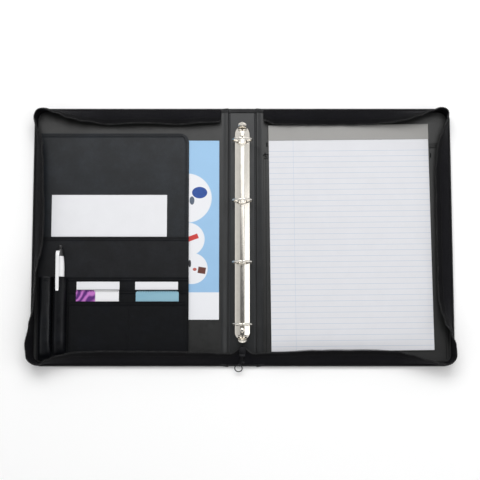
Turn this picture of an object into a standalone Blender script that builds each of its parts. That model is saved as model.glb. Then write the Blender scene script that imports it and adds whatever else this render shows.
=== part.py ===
"""A4 zip-round portfolio case with a four-ring binder, lying open and flat.

The front cover is at -X, the back cover at +X and the spine between them. +Y is the head of the case and
+Z is up, out of the lining. The origin is the middle of the spine's outer face. Sizes are in millimetres
and are turned into metres where a shape is made.
"""

import math

import bmesh
import bpy
from mathutils import Matrix, Vector

MM = 0.001

# Covers and spine
HALF_LENGTH = 169.5  # half the height of the case, along Y
OUTER_X = 275.0  # fore edge of either cover
CORNER_RADIUS = 15.0
HINGE_X = 22.5  # fold lines, in the gutters beside the spine
FOLD_CLEAR = 4.8  # stiff layers stop this far from a fold line
SKIN_CLEAR = 0.6  # and the skin this far
SKIN_Z = 0.8
BOARD_Z = (1.0, 3.0)
LINING_Z = (3.2, 3.8)
TURN_IN_Z = (4.0, 4.6)  # the skin's edge, turned in over the lining
TURN_IN = 6.0
SKIN_WALL = 1.0
BOARD_INSET = 1.3

# Gusset: a strip that stands on each cover's three free edges and carries half of the zip
GUSSET_INSET = 3.5
GUSSET_BASE_Z = 5.3
GUSSET_START_X = 28.0
GUSSET_WIDTH = (17.2, 20.0)  # where it stands up at a corner, and where it leans in
GUSSET_T = 0.8
CHAIN_WIDTH = 3.6
CHAIN_T = 1.8
LEAN_FULL = 14.0
END_DROP = 0.6
END_DROP_RUN = 40.0
PATH_STEP = 13.0
# (distance along the edge from the head-side gutter, how far the free edge leans in)
FRONT_LEAN = [
    (0, 15.7), (25, 17), (55, 19), (105, 17.5), (150, 18.8), (180, 16), (200, 12.2), (215, 6.3), (232, 0.5),
    (241, -0.5), (250, 0), (262, 3), (274, 8.5), (287, 11), (325, 12.5), (385, 14), (412, 13.5), (428, 11.5),
    (442, 8), (458, 5.5), (480, 4.8), (500, 3.5), (522, -1.5), (546, -6), (559, -4.5), (577, -1), (587, 5),
    (599, 10), (622, 14), (657, 15.5), (737, 15), (787, 14), (809, 13),
]
BACK_LEAN = [
    (0, 14), (15, 18.5), (60, 19.3), (110, 19.3), (140, 18.8), (165, 17.4), (185, 14.8), (203, 10), (220, 3.8),
    (232, -0.5), (241, -1), (250, 3), (267, 9.5), (281, 14.5), (295, 16.5), (321, 18.3), (462, 18.2),
    (486, 17.9), (501, 15.7), (517, 11.7), (532, 4.5), (547, -0.8), (561, -1.5), (577, -0.5), (583, 0.5),
    (601, 5.4), (621, 11.3), (640, 15.5), (680, 17), (740, 16.5), (795, 14), (809, 13),
]

# Pockets on the front cover, each (lowest z, highest z)
POCKET_LEFT = -266.0
POCKET_RIGHT = -70.3
DOCUMENT_TOP = 135.9
DOCUMENT_CORNER = 12.0
DOCUMENT_Z = (4.3, 4.9)
ENVELOPE_POCKET_TOP = -1.7
ENVELOPE_POCKET_Z = (5.6, 6.2)
ORGANISER_TOP = -54.5
ORGANISER_Z = (6.35, 6.95)
SLOT_TOPS = (-70.9, -86.1)
SLOT_Z = ((7.55, 8.05), (8.65, 9.15))
SLOT_X = (-224.0, -72.0)
SLEEVE_Y = (-150.0, ORGANISER_TOP)
SLEEVE_FOOT_Z = 7.3
SLEEVE_T = 0.6

# Pad pocket on the back cover: its mouth runs slightly uphill
PAD_POCKET_X = (28.5, 266.0)
PAD_POCKET_MOUTH = (107.0, 122.5)
PAD_POCKET_Z = (4.75, 5.35)

# What the pockets hold
CARD = (55.5, 84.0, 0.3)
CARDS = {  # left edge, top edge, lowest z
    "card_upper_left": (-215.0, -60.4, 7.1),
    "card_lower_left": (-215.5, -71.8, 8.2),
    "card_upper_right": (-139.0, -60.5, 7.1),
    "card_lower_right": (-138.0, -72.5, 8.2),
}
PAD_CENTRE = (141.2, -1.2)
PAD_SIZE = (210.0, 297.0)
PAD_TURN = math.radians(0.6)
PEN_X = -236.0
PEN_Z = 13.2
CLIP_X = PEN_X - 2.2

# Ring mechanism
RING_CENTRE_Y = 4.5
RING_PITCH = 80.0
RING_R = 12.45
RING_WIRE_R = 1.4
RING_Z = 19.95
RING_FOOT_X = 6.3
CASING_HALF = 142.5
CASING_HALF_WIDTH = 10.0
CASING_T = 0.8
CASING_Z = 4.1
BLADE_Z = (5.4, 6.3)
BLADE_X = (0.25, 8.2)
BLADE_HALF = 131.6
RIVET_Y = 127.5
RIVET_R = 1.4
LEVER_PIN = (135.5, 6.6)  # distance from the mechanism's middle, height
LEVER_PIN_R = 0.8
LEVER_WIDTH = 10.6
LEVER_T = 1.0

# Zip slider and its pull
SLIDER_Y = (-157.5, -144.5)
SLIDER_Z = (6.0, 10.2)
SLIDER_HALF_WIDTH = 4.5
PULL_PIVOT = Vector((0.0, -155.4, 12.2))
PULL_PIN_R = 0.6
EAR_X = (2.2, 3.2)
PULL_TURN = math.radians(-16.0)
PULL_DROP = math.radians(-14.0)
TAB_LENGTH = 13.4
TAB_HALF_WIDTH = 1.5
TAB_BARREL = 1.8
PULL_RING_R = 4.8
PULL_WIRE_R = 0.65
PULL_RING_DROP = math.radians(-28.0)


# ---------------------------------------------------------------- scene and materials

for old in list(bpy.data.objects):
    bpy.data.objects.remove(old)

CASE = bpy.data.collections.new("portfolio_case")
CUTTERS = bpy.data.collections.new("cutters")
bpy.context.scene.collection.children.link(CASE)
bpy.context.scene.collection.children.link(CUTTERS)


def material(name, colour, roughness, metallic=0.0):
    made = bpy.data.materials.new(name)
    made.use_nodes = True
    shader = made.node_tree.nodes["Principled BSDF"]
    shader.inputs["Base Color"].default_value = (*colour, 1.0)
    shader.inputs["Roughness"].default_value = roughness
    shader.inputs["Metallic"].default_value = metallic
    return made


LEATHERETTE = material("leatherette", (0.013, 0.013, 0.014), 0.5)
GREYBOARD = material("greyboard", (0.28, 0.26, 0.23), 0.9)
LINING = material("lining", (0.035, 0.037, 0.036), 0.7)
POCKET = material("pocket_leatherette", (0.018, 0.019, 0.021), 0.55)
GUSSET = material("gusset_fabric", (0.008, 0.008, 0.009), 0.8)
ZIP_BLACK = material("zip_black", (0.006, 0.006, 0.006), 0.4)
NICKEL = material("nickel", (0.72, 0.69, 0.63), 0.2, 1.0)
DARK_METAL = material("slider_metal", (0.08, 0.08, 0.085), 0.35, 1.0)
PAPER = material("paper", (0.78, 0.79, 0.84), 0.8)
PAD_GREY = material("pad_binding_grey", (0.33, 0.33, 0.32), 0.85)
LEAFLET = material("leaflet_blue", (0.33, 0.58, 0.85), 0.4)
CARD_WHITE = material("card_white", (0.82, 0.82, 0.84), 0.5)
PEN_WHITE = material("pen_white", (0.8, 0.8, 0.8), 0.25)
PEN_BLACK = material("pen_black", (0.01, 0.01, 0.01), 0.3)


# ---------------------------------------------------------------- building blocks

def add_object(name, data, look, cutter=False):
    made = bpy.data.objects.new(name, data)
    (CUTTERS if cutter else CASE).objects.link(made)
    if cutter:
        made.hide_render = True
        made.display_type = "WIRE"
    else:
        made.data.materials.append(look)
    return made


def mesh_object(name, bm, look=None, cutter=False):
    """Turns a bmesh made in millimetres into an object in metres."""
    bm.transform(Matrix.Scale(MM, 4))
    mesh = bpy.data.meshes.new(name)
    bm.to_mesh(mesh)
    bm.free()
    return add_object(name, mesh, look, cutter)


def box(name, xs, ys, zs, look=None, cutter=False):
    bm = bmesh.new()
    bmesh.ops.create_cube(bm, size=1.0)
    size = (xs[1] - xs[0], ys[1] - ys[0], zs[1] - zs[0])
    centre = ((xs[0] + xs[1]) / 2, (ys[0] + ys[1]) / 2, (zs[0] + zs[1]) / 2)
    bm.transform(Matrix.Translation(centre) @ Matrix.Diagonal((*size, 1.0)))
    return mesh_object(name, bm, look, cutter)


def cylinder(name, start, end, radius, look=None, cutter=False, sides=24):
    bm = bmesh.new()
    start, end = Vector(start), Vector(end)
    run = end - start
    bmesh.ops.create_cone(bm, cap_ends=True, segments=sides, radius1=radius, radius2=radius, depth=run.length)
    turn = run.to_track_quat("Z", "Y").to_matrix().to_4x4()
    bm.transform(Matrix.Translation((start + end) / 2) @ turn)
    return mesh_object(name, bm, look, cutter)


def arc(cx, cy, radius, start_deg, end_deg, steps=6):
    """Points of an arc, ends included, going from one angle to the other."""
    angles = [math.radians(start_deg + (end_deg - start_deg) * i / steps) for i in range(steps + 1)]
    return [(cx + radius * math.cos(a), cy + radius * math.sin(a)) for a in angles]


def prism(name, outline, zs, look=None, cutter=False):
    """A flat outline in X and Y, made solid between two heights: a filled 2D curve turned into a mesh."""
    curve = bpy.data.curves.new(name, "CURVE")
    curve.dimensions = "2D"
    curve.fill_mode = "BOTH"
    curve.extrude = (zs[1] - zs[0]) / 2 * MM
    spline = curve.splines.new("POLY")
    spline.points.add(len(outline) - 1)
    for point, (x, y) in zip(spline.points, outline):
        point.co = (x * MM, y * MM, 0.0, 1.0)
    spline.use_cyclic_u = True
    lifted = Matrix.Translation((0.0, 0.0, (zs[0] + zs[1]) / 2 * MM))
    return baked(name, curve, lifted, look, cutter)


def baked(name, curve, placed, look=None, cutter=False):
    """A curve made into a welded mesh, so that it can be cut."""
    guide = bpy.data.objects.new(name + "_guide", curve)
    bpy.context.scene.collection.objects.link(guide)
    bpy.context.view_layer.update()
    evaluated = guide.evaluated_get(bpy.context.evaluated_depsgraph_get())
    mesh = bpy.data.meshes.new_from_object(evaluated)
    bpy.data.objects.remove(guide)
    bm = bmesh.new()
    bm.from_mesh(mesh)
    bmesh.ops.remove_doubles(bm, verts=bm.verts, dist=0.01 * MM)
    bm.transform(placed)
    bm.to_mesh(mesh)
    bm.free()
    mesh.materials.clear()
    made = add_object(name, mesh, look, cutter)
    made.data.name = name
    return made


def tube(name, points, radius, look, resolution=2, closed=False):
    """A round wire along points, as a bevelled curve with filled caps."""
    curve = bpy.data.curves.new(name, "CURVE")
    curve.dimensions = "3D"
    curve.bevel_depth = radius * MM
    curve.bevel_resolution = resolution
    curve.use_fill_caps = True
    spline = curve.splines.new("POLY")
    spline.points.add(len(points) - 1)
    for point, place in zip(spline.points, points):
        point.co = (*(Vector(place) * MM), 1.0)
    spline.use_cyclic_u = closed
    return add_object(name, curve, look)


def sheet(name, rows, thickness, look, offset=0.0):
    """A sheet of even thickness over a grid of points, rows[i][j]."""
    bm = bmesh.new()
    grid = [[bm.verts.new(Vector(p)) for p in row] for row in rows]
    for a, b in zip(grid, grid[1:]):
        for i in range(len(a) - 1):
            bm.faces.new((a[i], a[i + 1], b[i + 1], b[i]))
    bmesh.ops.recalc_face_normals(bm, faces=bm.faces)
    made = mesh_object(name, bm, look)
    thick = made.modifiers.new("thickness", "SOLIDIFY")
    thick.thickness = thickness * MM
    thick.offset = offset
    thick.use_even_offset = True
    return made


def cut(target, cutter, operation="DIFFERENCE"):
    step = target.modifiers.new("cut_" + cutter.name, "BOOLEAN")
    step.object = cutter
    step.operation = operation
    step.solver = "EXACT"


def smooth(made, degrees=35.0):
    made.data.shade_smooth()
    made.data.set_sharp_from_angle(angle=math.radians(degrees))
    return made


def turned(name, profile, steps, look, placed):
    """A profile of (radius, height) pairs, top to bottom, turned about Z and then placed."""
    bm = bmesh.new()
    verts = [bm.verts.new((r, 0.0, z)) for r, z in profile]
    for a, b in zip(verts, verts[1:]):
        bm.edges.new((a, b))
    made = mesh_object(name, bm, look)
    screw = made.modifiers.new("turn", "SCREW")
    screw.steps = screw.render_steps = steps
    screw.use_merge_vertices = True
    screw.merge_threshold = 0.0001
    made.matrix_world = Matrix.Translation(placed.to_translation() * MM) @ placed.to_3x3().to_4x4()
    return made


# ---------------------------------------------------------------- covers and spine

def panel_outline(side, near_x, inset):
    """Outline of a cover: square at the gutter, rounded at the two outer corners."""
    far, top, radius = OUTER_X - inset, HALF_LENGTH - inset, CORNER_RADIUS - inset
    points = [(near_x, -top)]
    points += arc(far - radius, -top + radius, radius, -90, 0)
    points += arc(far - radius, top - radius, radius, 0, 90)
    points += [(near_x, top)]
    return [(side * x, y) for x, y in points]


def cover(name, side):
    """Skin, board and lining of one cover."""
    gutter = HINGE_X + FOLD_CLEAR
    skin = prism(name + "_skin", panel_outline(side, HINGE_X + SKIN_CLEAR, 0.0), (0.0, TURN_IN_Z[1]), LEATHERETTE)
    hollow = panel_outline(side, HINGE_X - 3, SKIN_WALL)
    cut(skin, prism(name + "_hollow", hollow, (SKIN_Z, TURN_IN_Z[0]), cutter=True))
    window = panel_outline(side, HINGE_X - 3, TURN_IN)
    cut(skin, prism(name + "_window", window, (SKIN_Z + 1, TURN_IN_Z[1] + 1), cutter=True))
    span = sorted((side * (HINGE_X - 3), side * gutter))
    cut(skin, box(name + "_gutter", span, (-HALF_LENGTH - 5, HALF_LENGTH + 5), (SKIN_Z, 9.0), cutter=True))
    prism(name + "_board", panel_outline(side, gutter, BOARD_INSET), BOARD_Z, GREYBOARD)
    prism(name + "_lining", panel_outline(side, gutter, BOARD_INSET), LINING_Z, LINING)


def spine():
    half = HINGE_X - SKIN_CLEAR
    stiff = HINGE_X - FOLD_CLEAR
    skin = box("spine_skin", (-half, half), (-HALF_LENGTH, HALF_LENGTH), (0.0, TURN_IN_Z[1]), LEATHERETTE)
    inner = HALF_LENGTH - SKIN_WALL
    cut(skin, box("spine_hollow", (-40, 40), (-inner, inner), (SKIN_Z, TURN_IN_Z[0]), cutter=True))
    window = HALF_LENGTH - TURN_IN
    cut(skin, box("spine_window", (-40, 40), (-window, window), (SKIN_Z + 1, 9.0), cutter=True))
    for side in (-1, 1):
        span = sorted((side * stiff, side * 40))
        cut(skin, box(f"spine_gutter_{side}", span, (-200, 200), (SKIN_Z, 9.0), cutter=True))
    length = HALF_LENGTH - BOARD_INSET
    holes = [
        cylinder(f"rivet_hole_{end}", (0, RING_CENTRE_Y + end * RIVET_Y, -1), (0, RING_CENTRE_Y + end * RIVET_Y, 14),
                 RIVET_R + 0.3, cutter=True)
        for end in (-1, 1)
    ]
    for name, zs, look in (("spine_board", BOARD_Z, GREYBOARD), ("spine_lining", LINING_Z, LINING)):
        layer = box(name, (-stiff, stiff), (-length, length), zs, look)
        for hole in holes:
            cut(layer, hole)
    return holes


# ---------------------------------------------------------------- gusset and zip

def edge_path(side):
    """Points (x, y) and inward directions along a cover's free edges, each with its distance along them."""
    far, top = OUTER_X - GUSSET_INSET, HALF_LENGTH - GUSSET_INSET
    radius = CORNER_RADIUS - GUSSET_INSET
    run, drop, bend = far - radius - GUSSET_START_X, 2 * (top - radius), radius * math.pi / 2
    total = 2 * run + drop + 2 * bend
    count = round(total / PATH_STEP)
    straight = [total * i / count for i in range(count + 1)]
    corners = [run, run + bend + drop]
    spots = sorted(
        [s for s in straight if all(not c - 1 < s < c + bend + 1 for c in corners)]
        + [c + bend * i / 6 for c in corners for i in range(7)]
    )
    path = []
    for s in spots:
        if s <= run:
            place, inward = (GUSSET_START_X + s, top), (0, -1)
        elif s <= run + bend:
            turn = (s - run) / radius
            place = (far - radius + radius * math.sin(turn), top - radius + radius * math.cos(turn))
            inward = (-math.sin(turn), -math.cos(turn))
        elif s <= run + bend + drop:
            place, inward = (far, top - radius - (s - run - bend)), (-1, 0)
        elif s <= run + 2 * bend + drop:
            turn = (s - run - bend - drop) / radius
            place = (far - radius + radius * math.cos(turn), -top + radius - radius * math.sin(turn))
            inward = (-math.cos(turn), math.sin(turn))
        else:
            place, inward = (far - radius - (s - run - 2 * bend - drop), -top), (0, 1)
        path.append((s, (side * place[0], place[1]), (side * inward[0], inward[1])))
    return path, total


def along(keys, s):
    """A smooth curve through (distance, value) keys."""
    for (s0, v0), (s1, v1) in zip(keys, keys[1:]):
        if s <= s1:
            t = (s - s0) / (s1 - s0)
            return v0 + (v1 - v0) * t * t * (3 - 2 * t)
    return keys[-1][1]


def ease(t):
    t = max(0.0, min(1.0, t))
    return t * t * (3 - 2 * t)


def edge_sections(side, lean_keys):
    """For each spot on the edge: the foot of the strip, its direction, its width and its outward normal."""
    path, total = edge_path(side)
    sections = []
    for s, (x, y), (ix, iy) in path:
        lean = along(lean_keys, s)
        width = GUSSET_WIDTH[0] + (GUSSET_WIDTH[1] - GUSSET_WIDTH[0]) * ease(lean / LEAN_FULL)
        rise = math.sqrt(width * width - lean * lean)
        rise *= END_DROP + (1 - END_DROP) * ease(min(s, total - s) / END_DROP_RUN)
        inward = Vector((ix, iy, 0.0))
        way = inward * lean + Vector((0.0, 0.0, rise))
        outward = (Vector((0.0, 0.0, lean)) - inward * rise).normalized()
        sections.append((Vector((x, y, GUSSET_BASE_Z)), way.normalized(), way.length, outward))
    return sections


def gusset(name, side, lean_keys):
    """The fabric strip, and the half of the zip sewn to its free edge."""
    sections = edge_sections(side, lean_keys)
    cloth = []
    chain = []
    for foot, way, width, out in sections:
        hem = width - CHAIN_WIDTH - 0.3
        cloth.append([foot + way * hem * t for t in (0.0, 0.5, 1.0)])
        chain.append([foot + way * (width - CHAIN_WIDTH), foot + way * width])
    sheet(name + "_gusset", cloth, GUSSET_T, GUSSET)
    sheet(name + "_zip_chain", chain, CHAIN_T, ZIP_BLACK)


def spine_zip():
    """The gusset folded flat over the foot of the spine, the joined end of the zip and its stop."""
    fold = [(-17.2, -165.0), (17.2, -165.0), (17.2, -161.5), (6.0, -143.5), (-6.0, -143.5), (-17.2, -161.5)]
    prism("spine_gusset", fold, (4.9, 5.6), GUSSET)
    box("zip_joined_end", (-2.2, 2.2), (-163.0, -145.5), (7.1, 8.5), ZIP_BLACK)
    box("zip_end_stop", (-2.8, 2.8), (-165.2, -163.3), (6.4, 8.7), DARK_METAL)


def zip_slider():
    """Slider body: narrow at its tail, with a channel for the teeth, and two ears with the pull's cross pin."""
    tail, mouth = SLIDER_Y
    half = SLIDER_HALF_WIDTH
    outline = [(-half + 1.2, tail), (half - 1.2, tail), (half, mouth - 5.0), (half - 0.4, mouth - 1.0)]
    outline += [(half - 1.6, mouth), (-half + 1.6, mouth), (-half + 0.4, mouth - 1.0), (-half, mouth - 5.0)]
    body = prism("zip_slider", outline, SLIDER_Z, DARK_METAL)
    cut(body, box("zip_channel", (-2.7, 2.7), (tail - 2, mouth + 2), (6.8, 8.8), cutter=True))
    x, y, z = PULL_PIVOT
    for side in (-1, 1):
        xs = sorted((side * EAR_X[0], side * EAR_X[1]))
        cut(body, box(f"pull_ear_{side}", xs, (y - 1.3, y + 1.5), (9.6, z + 1.3), cutter=True), "UNION")
    pin = cylinder("pull_pin", (-EAR_X[0] - 0.4, y, z), (EAR_X[0] + 0.4, y, z), PULL_PIN_R, cutter=True, sides=16)
    cut(body, pin, "UNION")


def pull_frame():
    """Where the pull is: origin on its pivot, -Y along the tab."""
    droop = Matrix.Rotation(-PULL_DROP, 4, "X")
    return Matrix.Translation(PULL_PIVOT) @ droop @ Matrix.Rotation(PULL_TURN, 4, "Z")


def ring_frame():
    """Where the pull ring is: origin on its pivot at the tab's end, -Y across the ring."""
    joint = pull_frame() @ Matrix.Translation((0.0, -TAB_LENGTH, 0.0))
    return joint @ Matrix.Rotation(-(PULL_RING_DROP - PULL_DROP), 4, "X")


def zip_pull():
    """A tab with a barrel round the slider's pin at one end and a smaller one round the ring at the other."""
    frame = pull_frame()
    half, bore = TAB_HALF_WIDTH, PULL_PIN_R + 0.3
    tab = box("zip_pull_tab", (-half, half), (-TAB_LENGTH + 0.6, -0.8), (-0.6, 0.6), DARK_METAL)
    metric = Matrix.Translation(frame.to_translation() * MM) @ frame.to_3x3().to_4x4()
    tab.data.transform(metric)
    x, y, z = PULL_PIVOT
    near = cylinder("near_barrel", (-TAB_BARREL, y, z), (TAB_BARREL, y, z), bore + 0.6, cutter=True)
    cut(tab, near, "UNION")
    cut(tab, cylinder("near_bore", (-4, y, z), (4, y, z), bore, cutter=True))
    ends = [frame @ Vector((side * half * 0.9, -TAB_LENGTH, 0.0)) for side in (-1, 1)]
    cut(tab, cylinder("far_barrel", *ends, PULL_WIRE_R + 0.95, cutter=True), "UNION")
    ends = [frame @ Vector((side * 4, -TAB_LENGTH, 0.0)) for side in (-1, 1)]
    cut(tab, cylinder("far_bore", *ends, PULL_WIRE_R + 0.4, cutter=True))
    across = ring_frame()
    circle = [across @ Vector((x, y - PULL_RING_R, 0.0)) for x, y in arc(0, 0, PULL_RING_R, 0, 342, steps=19)]
    tube("zip_pull_ring", circle, PULL_WIRE_R, DARK_METAL, closed=True)


# ---------------------------------------------------------------- ring mechanism

def arch(half_width, top, base):
    """Cross-section of the casing, (x, z) from one foot over the crown to the other."""
    shape = [(1.0, 0.0), (1.0, 0.35), (0.95, 0.55), (0.8, 0.76), (0.55, 0.9), (0.28, 0.975), (0.0, 1.0)]
    right = [(half_width * x, base + (top - base) * z) for x, z in shape]
    return right + [(-x, z) for x, z in reversed(right[:-1])]


def extruded_section(name, section, half_length, look=None, cutter=False):
    """A closed (x, z) section made solid along Y, about the mechanism's middle."""
    bm = bmesh.new()
    ends = []
    for y in (RING_CENTRE_Y - half_length, RING_CENTRE_Y + half_length):
        ends.append(bm.faces.new([bm.verts.new((x, y, z)) for x, z in section]))
    bmesh.ops.bridge_loops(bm, edges=[e for face in ends for e in face.edges])
    bmesh.ops.recalc_face_normals(bm, faces=bm.faces)
    return mesh_object(name, bm, look, cutter)


def stadium(half_length, radius):
    top = arc(0, RING_CENTRE_Y + half_length - radius, radius, 0, 180, steps=12)
    return top + arc(0, RING_CENTRE_Y - half_length + radius, radius, 180, 360, steps=12)


def ring_positions():
    return [RING_CENTRE_Y + RING_PITCH * (1.5 - i) for i in range(4)]


def casing(rivet_holes):
    """The curved top plate, open below, with slots for the ring feet and open ends for the levers."""
    top = 9.8
    plate = extruded_section("ring_casing", arch(CASING_HALF_WIDTH, top, CASING_Z), CASING_HALF - 0.01, NICKEL)
    cut(plate, prism("casing_plan", stadium(CASING_HALF, CASING_HALF_WIDTH + 0.01), (0, 14), cutter=True), "INTERSECT")
    inside = arch(CASING_HALF_WIDTH - CASING_T, top - CASING_T, CASING_Z - 1)
    cut(plate, extruded_section("casing_inside", inside, CASING_HALF - 2.5, cutter=True))
    for end in (-1, 1):
        ys = sorted((RING_CENTRE_Y + end * (LEVER_PIN[0] - 1.7), RING_CENTRE_Y + end * (CASING_HALF + 4)))
        half = LEVER_WIDTH / 2 + 0.5
        cut(plate, box(f"lever_slot_{end}", (-half, half), ys, (CASING_Z - 2, 14), cutter=True))
    for i, y in enumerate(ring_positions()):
        for side in (-1, 1):
            xs = sorted((side * 4.3, side * 9.1))
            slot = box(f"foot_slot_{i}_{side}", xs, (y - 1.8, y + 1.8), (6.6, 14), cutter=True)
            cut(plate, slot)
    for hole in rivet_holes:
        cut(plate, hole)


def blades():
    """Two flat plates under the casing that carry the half rings and snap over centre."""
    for side, name in ((-1, "ring_blade_left"), (1, "ring_blade_right")):
        xs = sorted((side * BLADE_X[0], side * BLADE_X[1]))
        ys = (RING_CENTRE_Y - BLADE_HALF, RING_CENTRE_Y + BLADE_HALF)
        blade = box(name, xs, ys, BLADE_Z, NICKEL)
        for end in (-1, 1):
            y = RING_CENTRE_Y + end * RIVET_Y
            cut(blade, cylinder(f"{name}_notch_{end}", (0, y, 3), (0, y, 12), RIVET_R + 0.9, cutter=True))
        for i, y in enumerate(ring_positions()):
            x = side * RING_FOOT_X
            hole = cylinder(f"{name}_hole_{i}", (x, y, 3), (x, y, 12), RING_WIRE_R + 0.25, cutter=True, sides=16)
            cut(blade, hole)


def half_rings():
    """Four pairs of half rings: from the closed tip round to the foot, riveted through the blade."""
    foot_angle = -math.degrees(math.acos(RING_FOOT_X / RING_R))
    start = math.degrees(math.acos(0.4 / RING_R))
    bow = arc(0, RING_Z, RING_R, start, foot_angle, steps=16)
    bow += [(RING_FOOT_X, bow[-1][1] - 1.6), (RING_FOOT_X, 4.9)]
    bow[-3] = (RING_FOOT_X + 0.5, bow[-3][1] + 0.2)
    for i, y in enumerate(ring_positions()):
        for side, word in ((-1, "left"), (1, "right")):
            points = [(side * x, y, z) for x, z in bow]
            tube(f"ring_{i + 1}_{word}", points, RING_WIRE_R, NICKEL, resolution=2)


def levers(rivet_holes):
    """Opening levers at head and foot, the pins that they turn on, and the rivets that hold the casing."""
    for end, word in ((1, "top"), (-1, "bottom")):
        def place(out, z):
            return RING_CENTRE_Y + end * out, z

        reach, height = LEVER_PIN
        profile = [
            (reach - 4.3, 4.6), (reach - 2.6, 4.7), (reach - 1.0, 5.6), (reach + 0.6, 7.4), (reach + 2.2, 9.6),
            (reach + 3.7, 12.0), (reach + 5.2, 14.2), (reach + 6.6, 15.6), (reach + 7.6, 16.2),
        ]
        widths = [0.30, 0.34, 0.62, 0.96, 1.0, 1.0, 0.94, 0.76, 0.42]
        rows = []
        for (out, z), share in zip(profile, widths):
            y, z = place(out, z)
            half = LEVER_WIDTH / 2 * share
            rows.append([(half * t, y, z + 0.8 * (1 - t * t) * (z > 10)) for t in (-1, -0.6, -0.2, 0.2, 0.6, 1)])
        lever = sheet(f"lever_{word}", rows, LEVER_T, NICKEL)
        y, z = place(reach, height)
        boss = cylinder(f"lever_boss_{word}", (-3.2, y, z), (3.2, y, z), 1.9, cutter=True)
        cut(lever, boss, "UNION")
        bore = cylinder(f"lever_bore_{word}", (-6, y, z), (6, y, z), LEVER_PIN_R + 0.25, cutter=True)
        cut(lever, bore)
        cylinder(f"lever_pin_{word}", (-7.2, y, z), (7.2, y, z), LEVER_PIN_R, NICKEL, sides=16)
        rivet_y = RING_CENTRE_Y + end * RIVET_Y
        profile = [(0.0, 11.4), (1.6, 11.2), (2.8, 10.6), (3.0, 10.1), (RIVET_R, 10.1), (RIVET_R, 1.1), (0.0, 1.1)]
        turned(f"rivet_{word}", profile, 24, NICKEL, Matrix.Translation((0.0, rivet_y, 0.0)))


# ---------------------------------------------------------------- pockets

def pockets():
    """Three panels sewn one on another on the front cover, two card slots and two pen sleeves."""
    corner = DOCUMENT_CORNER
    outline = arc(POCKET_LEFT + 7, -162.5 + 7, 7, 180, 270) + [(POCKET_RIGHT, -162.5)]
    outline += arc(POCKET_RIGHT - corner, DOCUMENT_TOP - corner, corner, 0, 90)
    outline += [(POCKET_LEFT, DOCUMENT_TOP)]
    prism("document_pocket", outline, DOCUMENT_Z, POCKET)
    box("envelope_pocket", (POCKET_LEFT, POCKET_RIGHT), (-161.0, ENVELOPE_POCKET_TOP), ENVELOPE_POCKET_Z, POCKET)
    box("organiser_panel", (POCKET_LEFT + 1.5, POCKET_RIGHT), (-160.0, ORGANISER_TOP), ORGANISER_Z, POCKET)
    for word, top, zs in zip(("upper", "lower"), SLOT_TOPS, SLOT_Z):
        box(f"card_slot_{word}", SLOT_X, (-158.0, top), zs, POCKET)
    sleeve("pen_sleeve_left", -263.8, -245.6, 16.0)
    sleeve("pen_sleeve_right", -245.0, -227.0, 19.9)


def sleeve(name, left, right, top):
    """A tube of leatherette open at the head: an arch over the organiser panel."""
    middle, half = (left + right) / 2, (right - left) / 2
    shape = [math.radians(180 * i / 14) for i in range(15)]
    section = []
    for a in shape:
        lean = abs(math.cos(a)) ** 0.75 * math.copysign(1, math.cos(a))
        section.append((middle + (half - SLEEVE_T / 2) * lean, math.sin(a) ** 0.8))
    rows = []
    for i in range(5):
        y = SLEEVE_Y[0] + (SLEEVE_Y[1] - SLEEVE_Y[0]) * i / 4
        rows.append([(x, y, SLEEVE_FOOT_Z + (top - SLEEVE_T / 2 - SLEEVE_FOOT_Z) * z) for x, z in section])
    sheet(name, rows, SLEEVE_T, POCKET)


def pad_pocket():
    left, right = PAD_POCKET_X
    outline = [(left, -163.0), (right, -163.0), (right, PAD_POCKET_MOUTH[1]), (left, PAD_POCKET_MOUTH[0])]
    prism("pad_pocket", outline, PAD_POCKET_Z, LINING)


# ---------------------------------------------------------------- contents

def contents():
    width, length, thick = CARD
    for name, (left, top, z) in CARDS.items():
        box(name, (left, left + width), (top - length, top), (z, z + thick), CARD_WHITE)
    box("envelope", (-249.6, -98.8), (-60.4, 53.6), (5.05, 5.45), PAPER)
    box("leaflet", (-190.0, -30.4), (-109.4, 126.2), (3.95, 4.15), LEAFLET)


def writing_pad():
    """Backing board in the pocket, sheets in front of it, and a binding strip round the head."""
    width, length = PAD_SIZE
    half, top = width / 2, length / 2
    turned_in_place = Matrix.Translation((*PAD_CENTRE, 0.0)) @ Matrix.Rotation(PAD_TURN, 4, "Z")
    metric = Matrix.Translation(turned_in_place.to_translation() * MM) @ turned_in_place.to_3x3().to_4x4()
    backing = box("pad_backing", (-half, half), (-top + 2, top - 0.6), (4.0, 4.5), GREYBOARD)
    sheets = box("pad_sheets", (-half, half), (-top, top - 0.6), (5.6, 7.6), PAPER)
    front = [(top - 20.5, 7.8), (top - 20.5, 8.05), (top, 8.05), (top, 4.0), (top - 0.35, 4.0), (top - 0.35, 7.8)]
    bm = bmesh.new()
    ends = [bm.faces.new([bm.verts.new((x, y, z)) for y, z in front]) for x in (-half, half)]
    bmesh.ops.bridge_loops(bm, edges=[e for face in ends for e in face.edges])
    bmesh.ops.recalc_face_normals(bm, faces=bm.faces)
    binding = mesh_object("pad_binding", bm, PAD_GREY)
    for piece in (backing, sheets, binding):
        piece.data.transform(metric)


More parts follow.
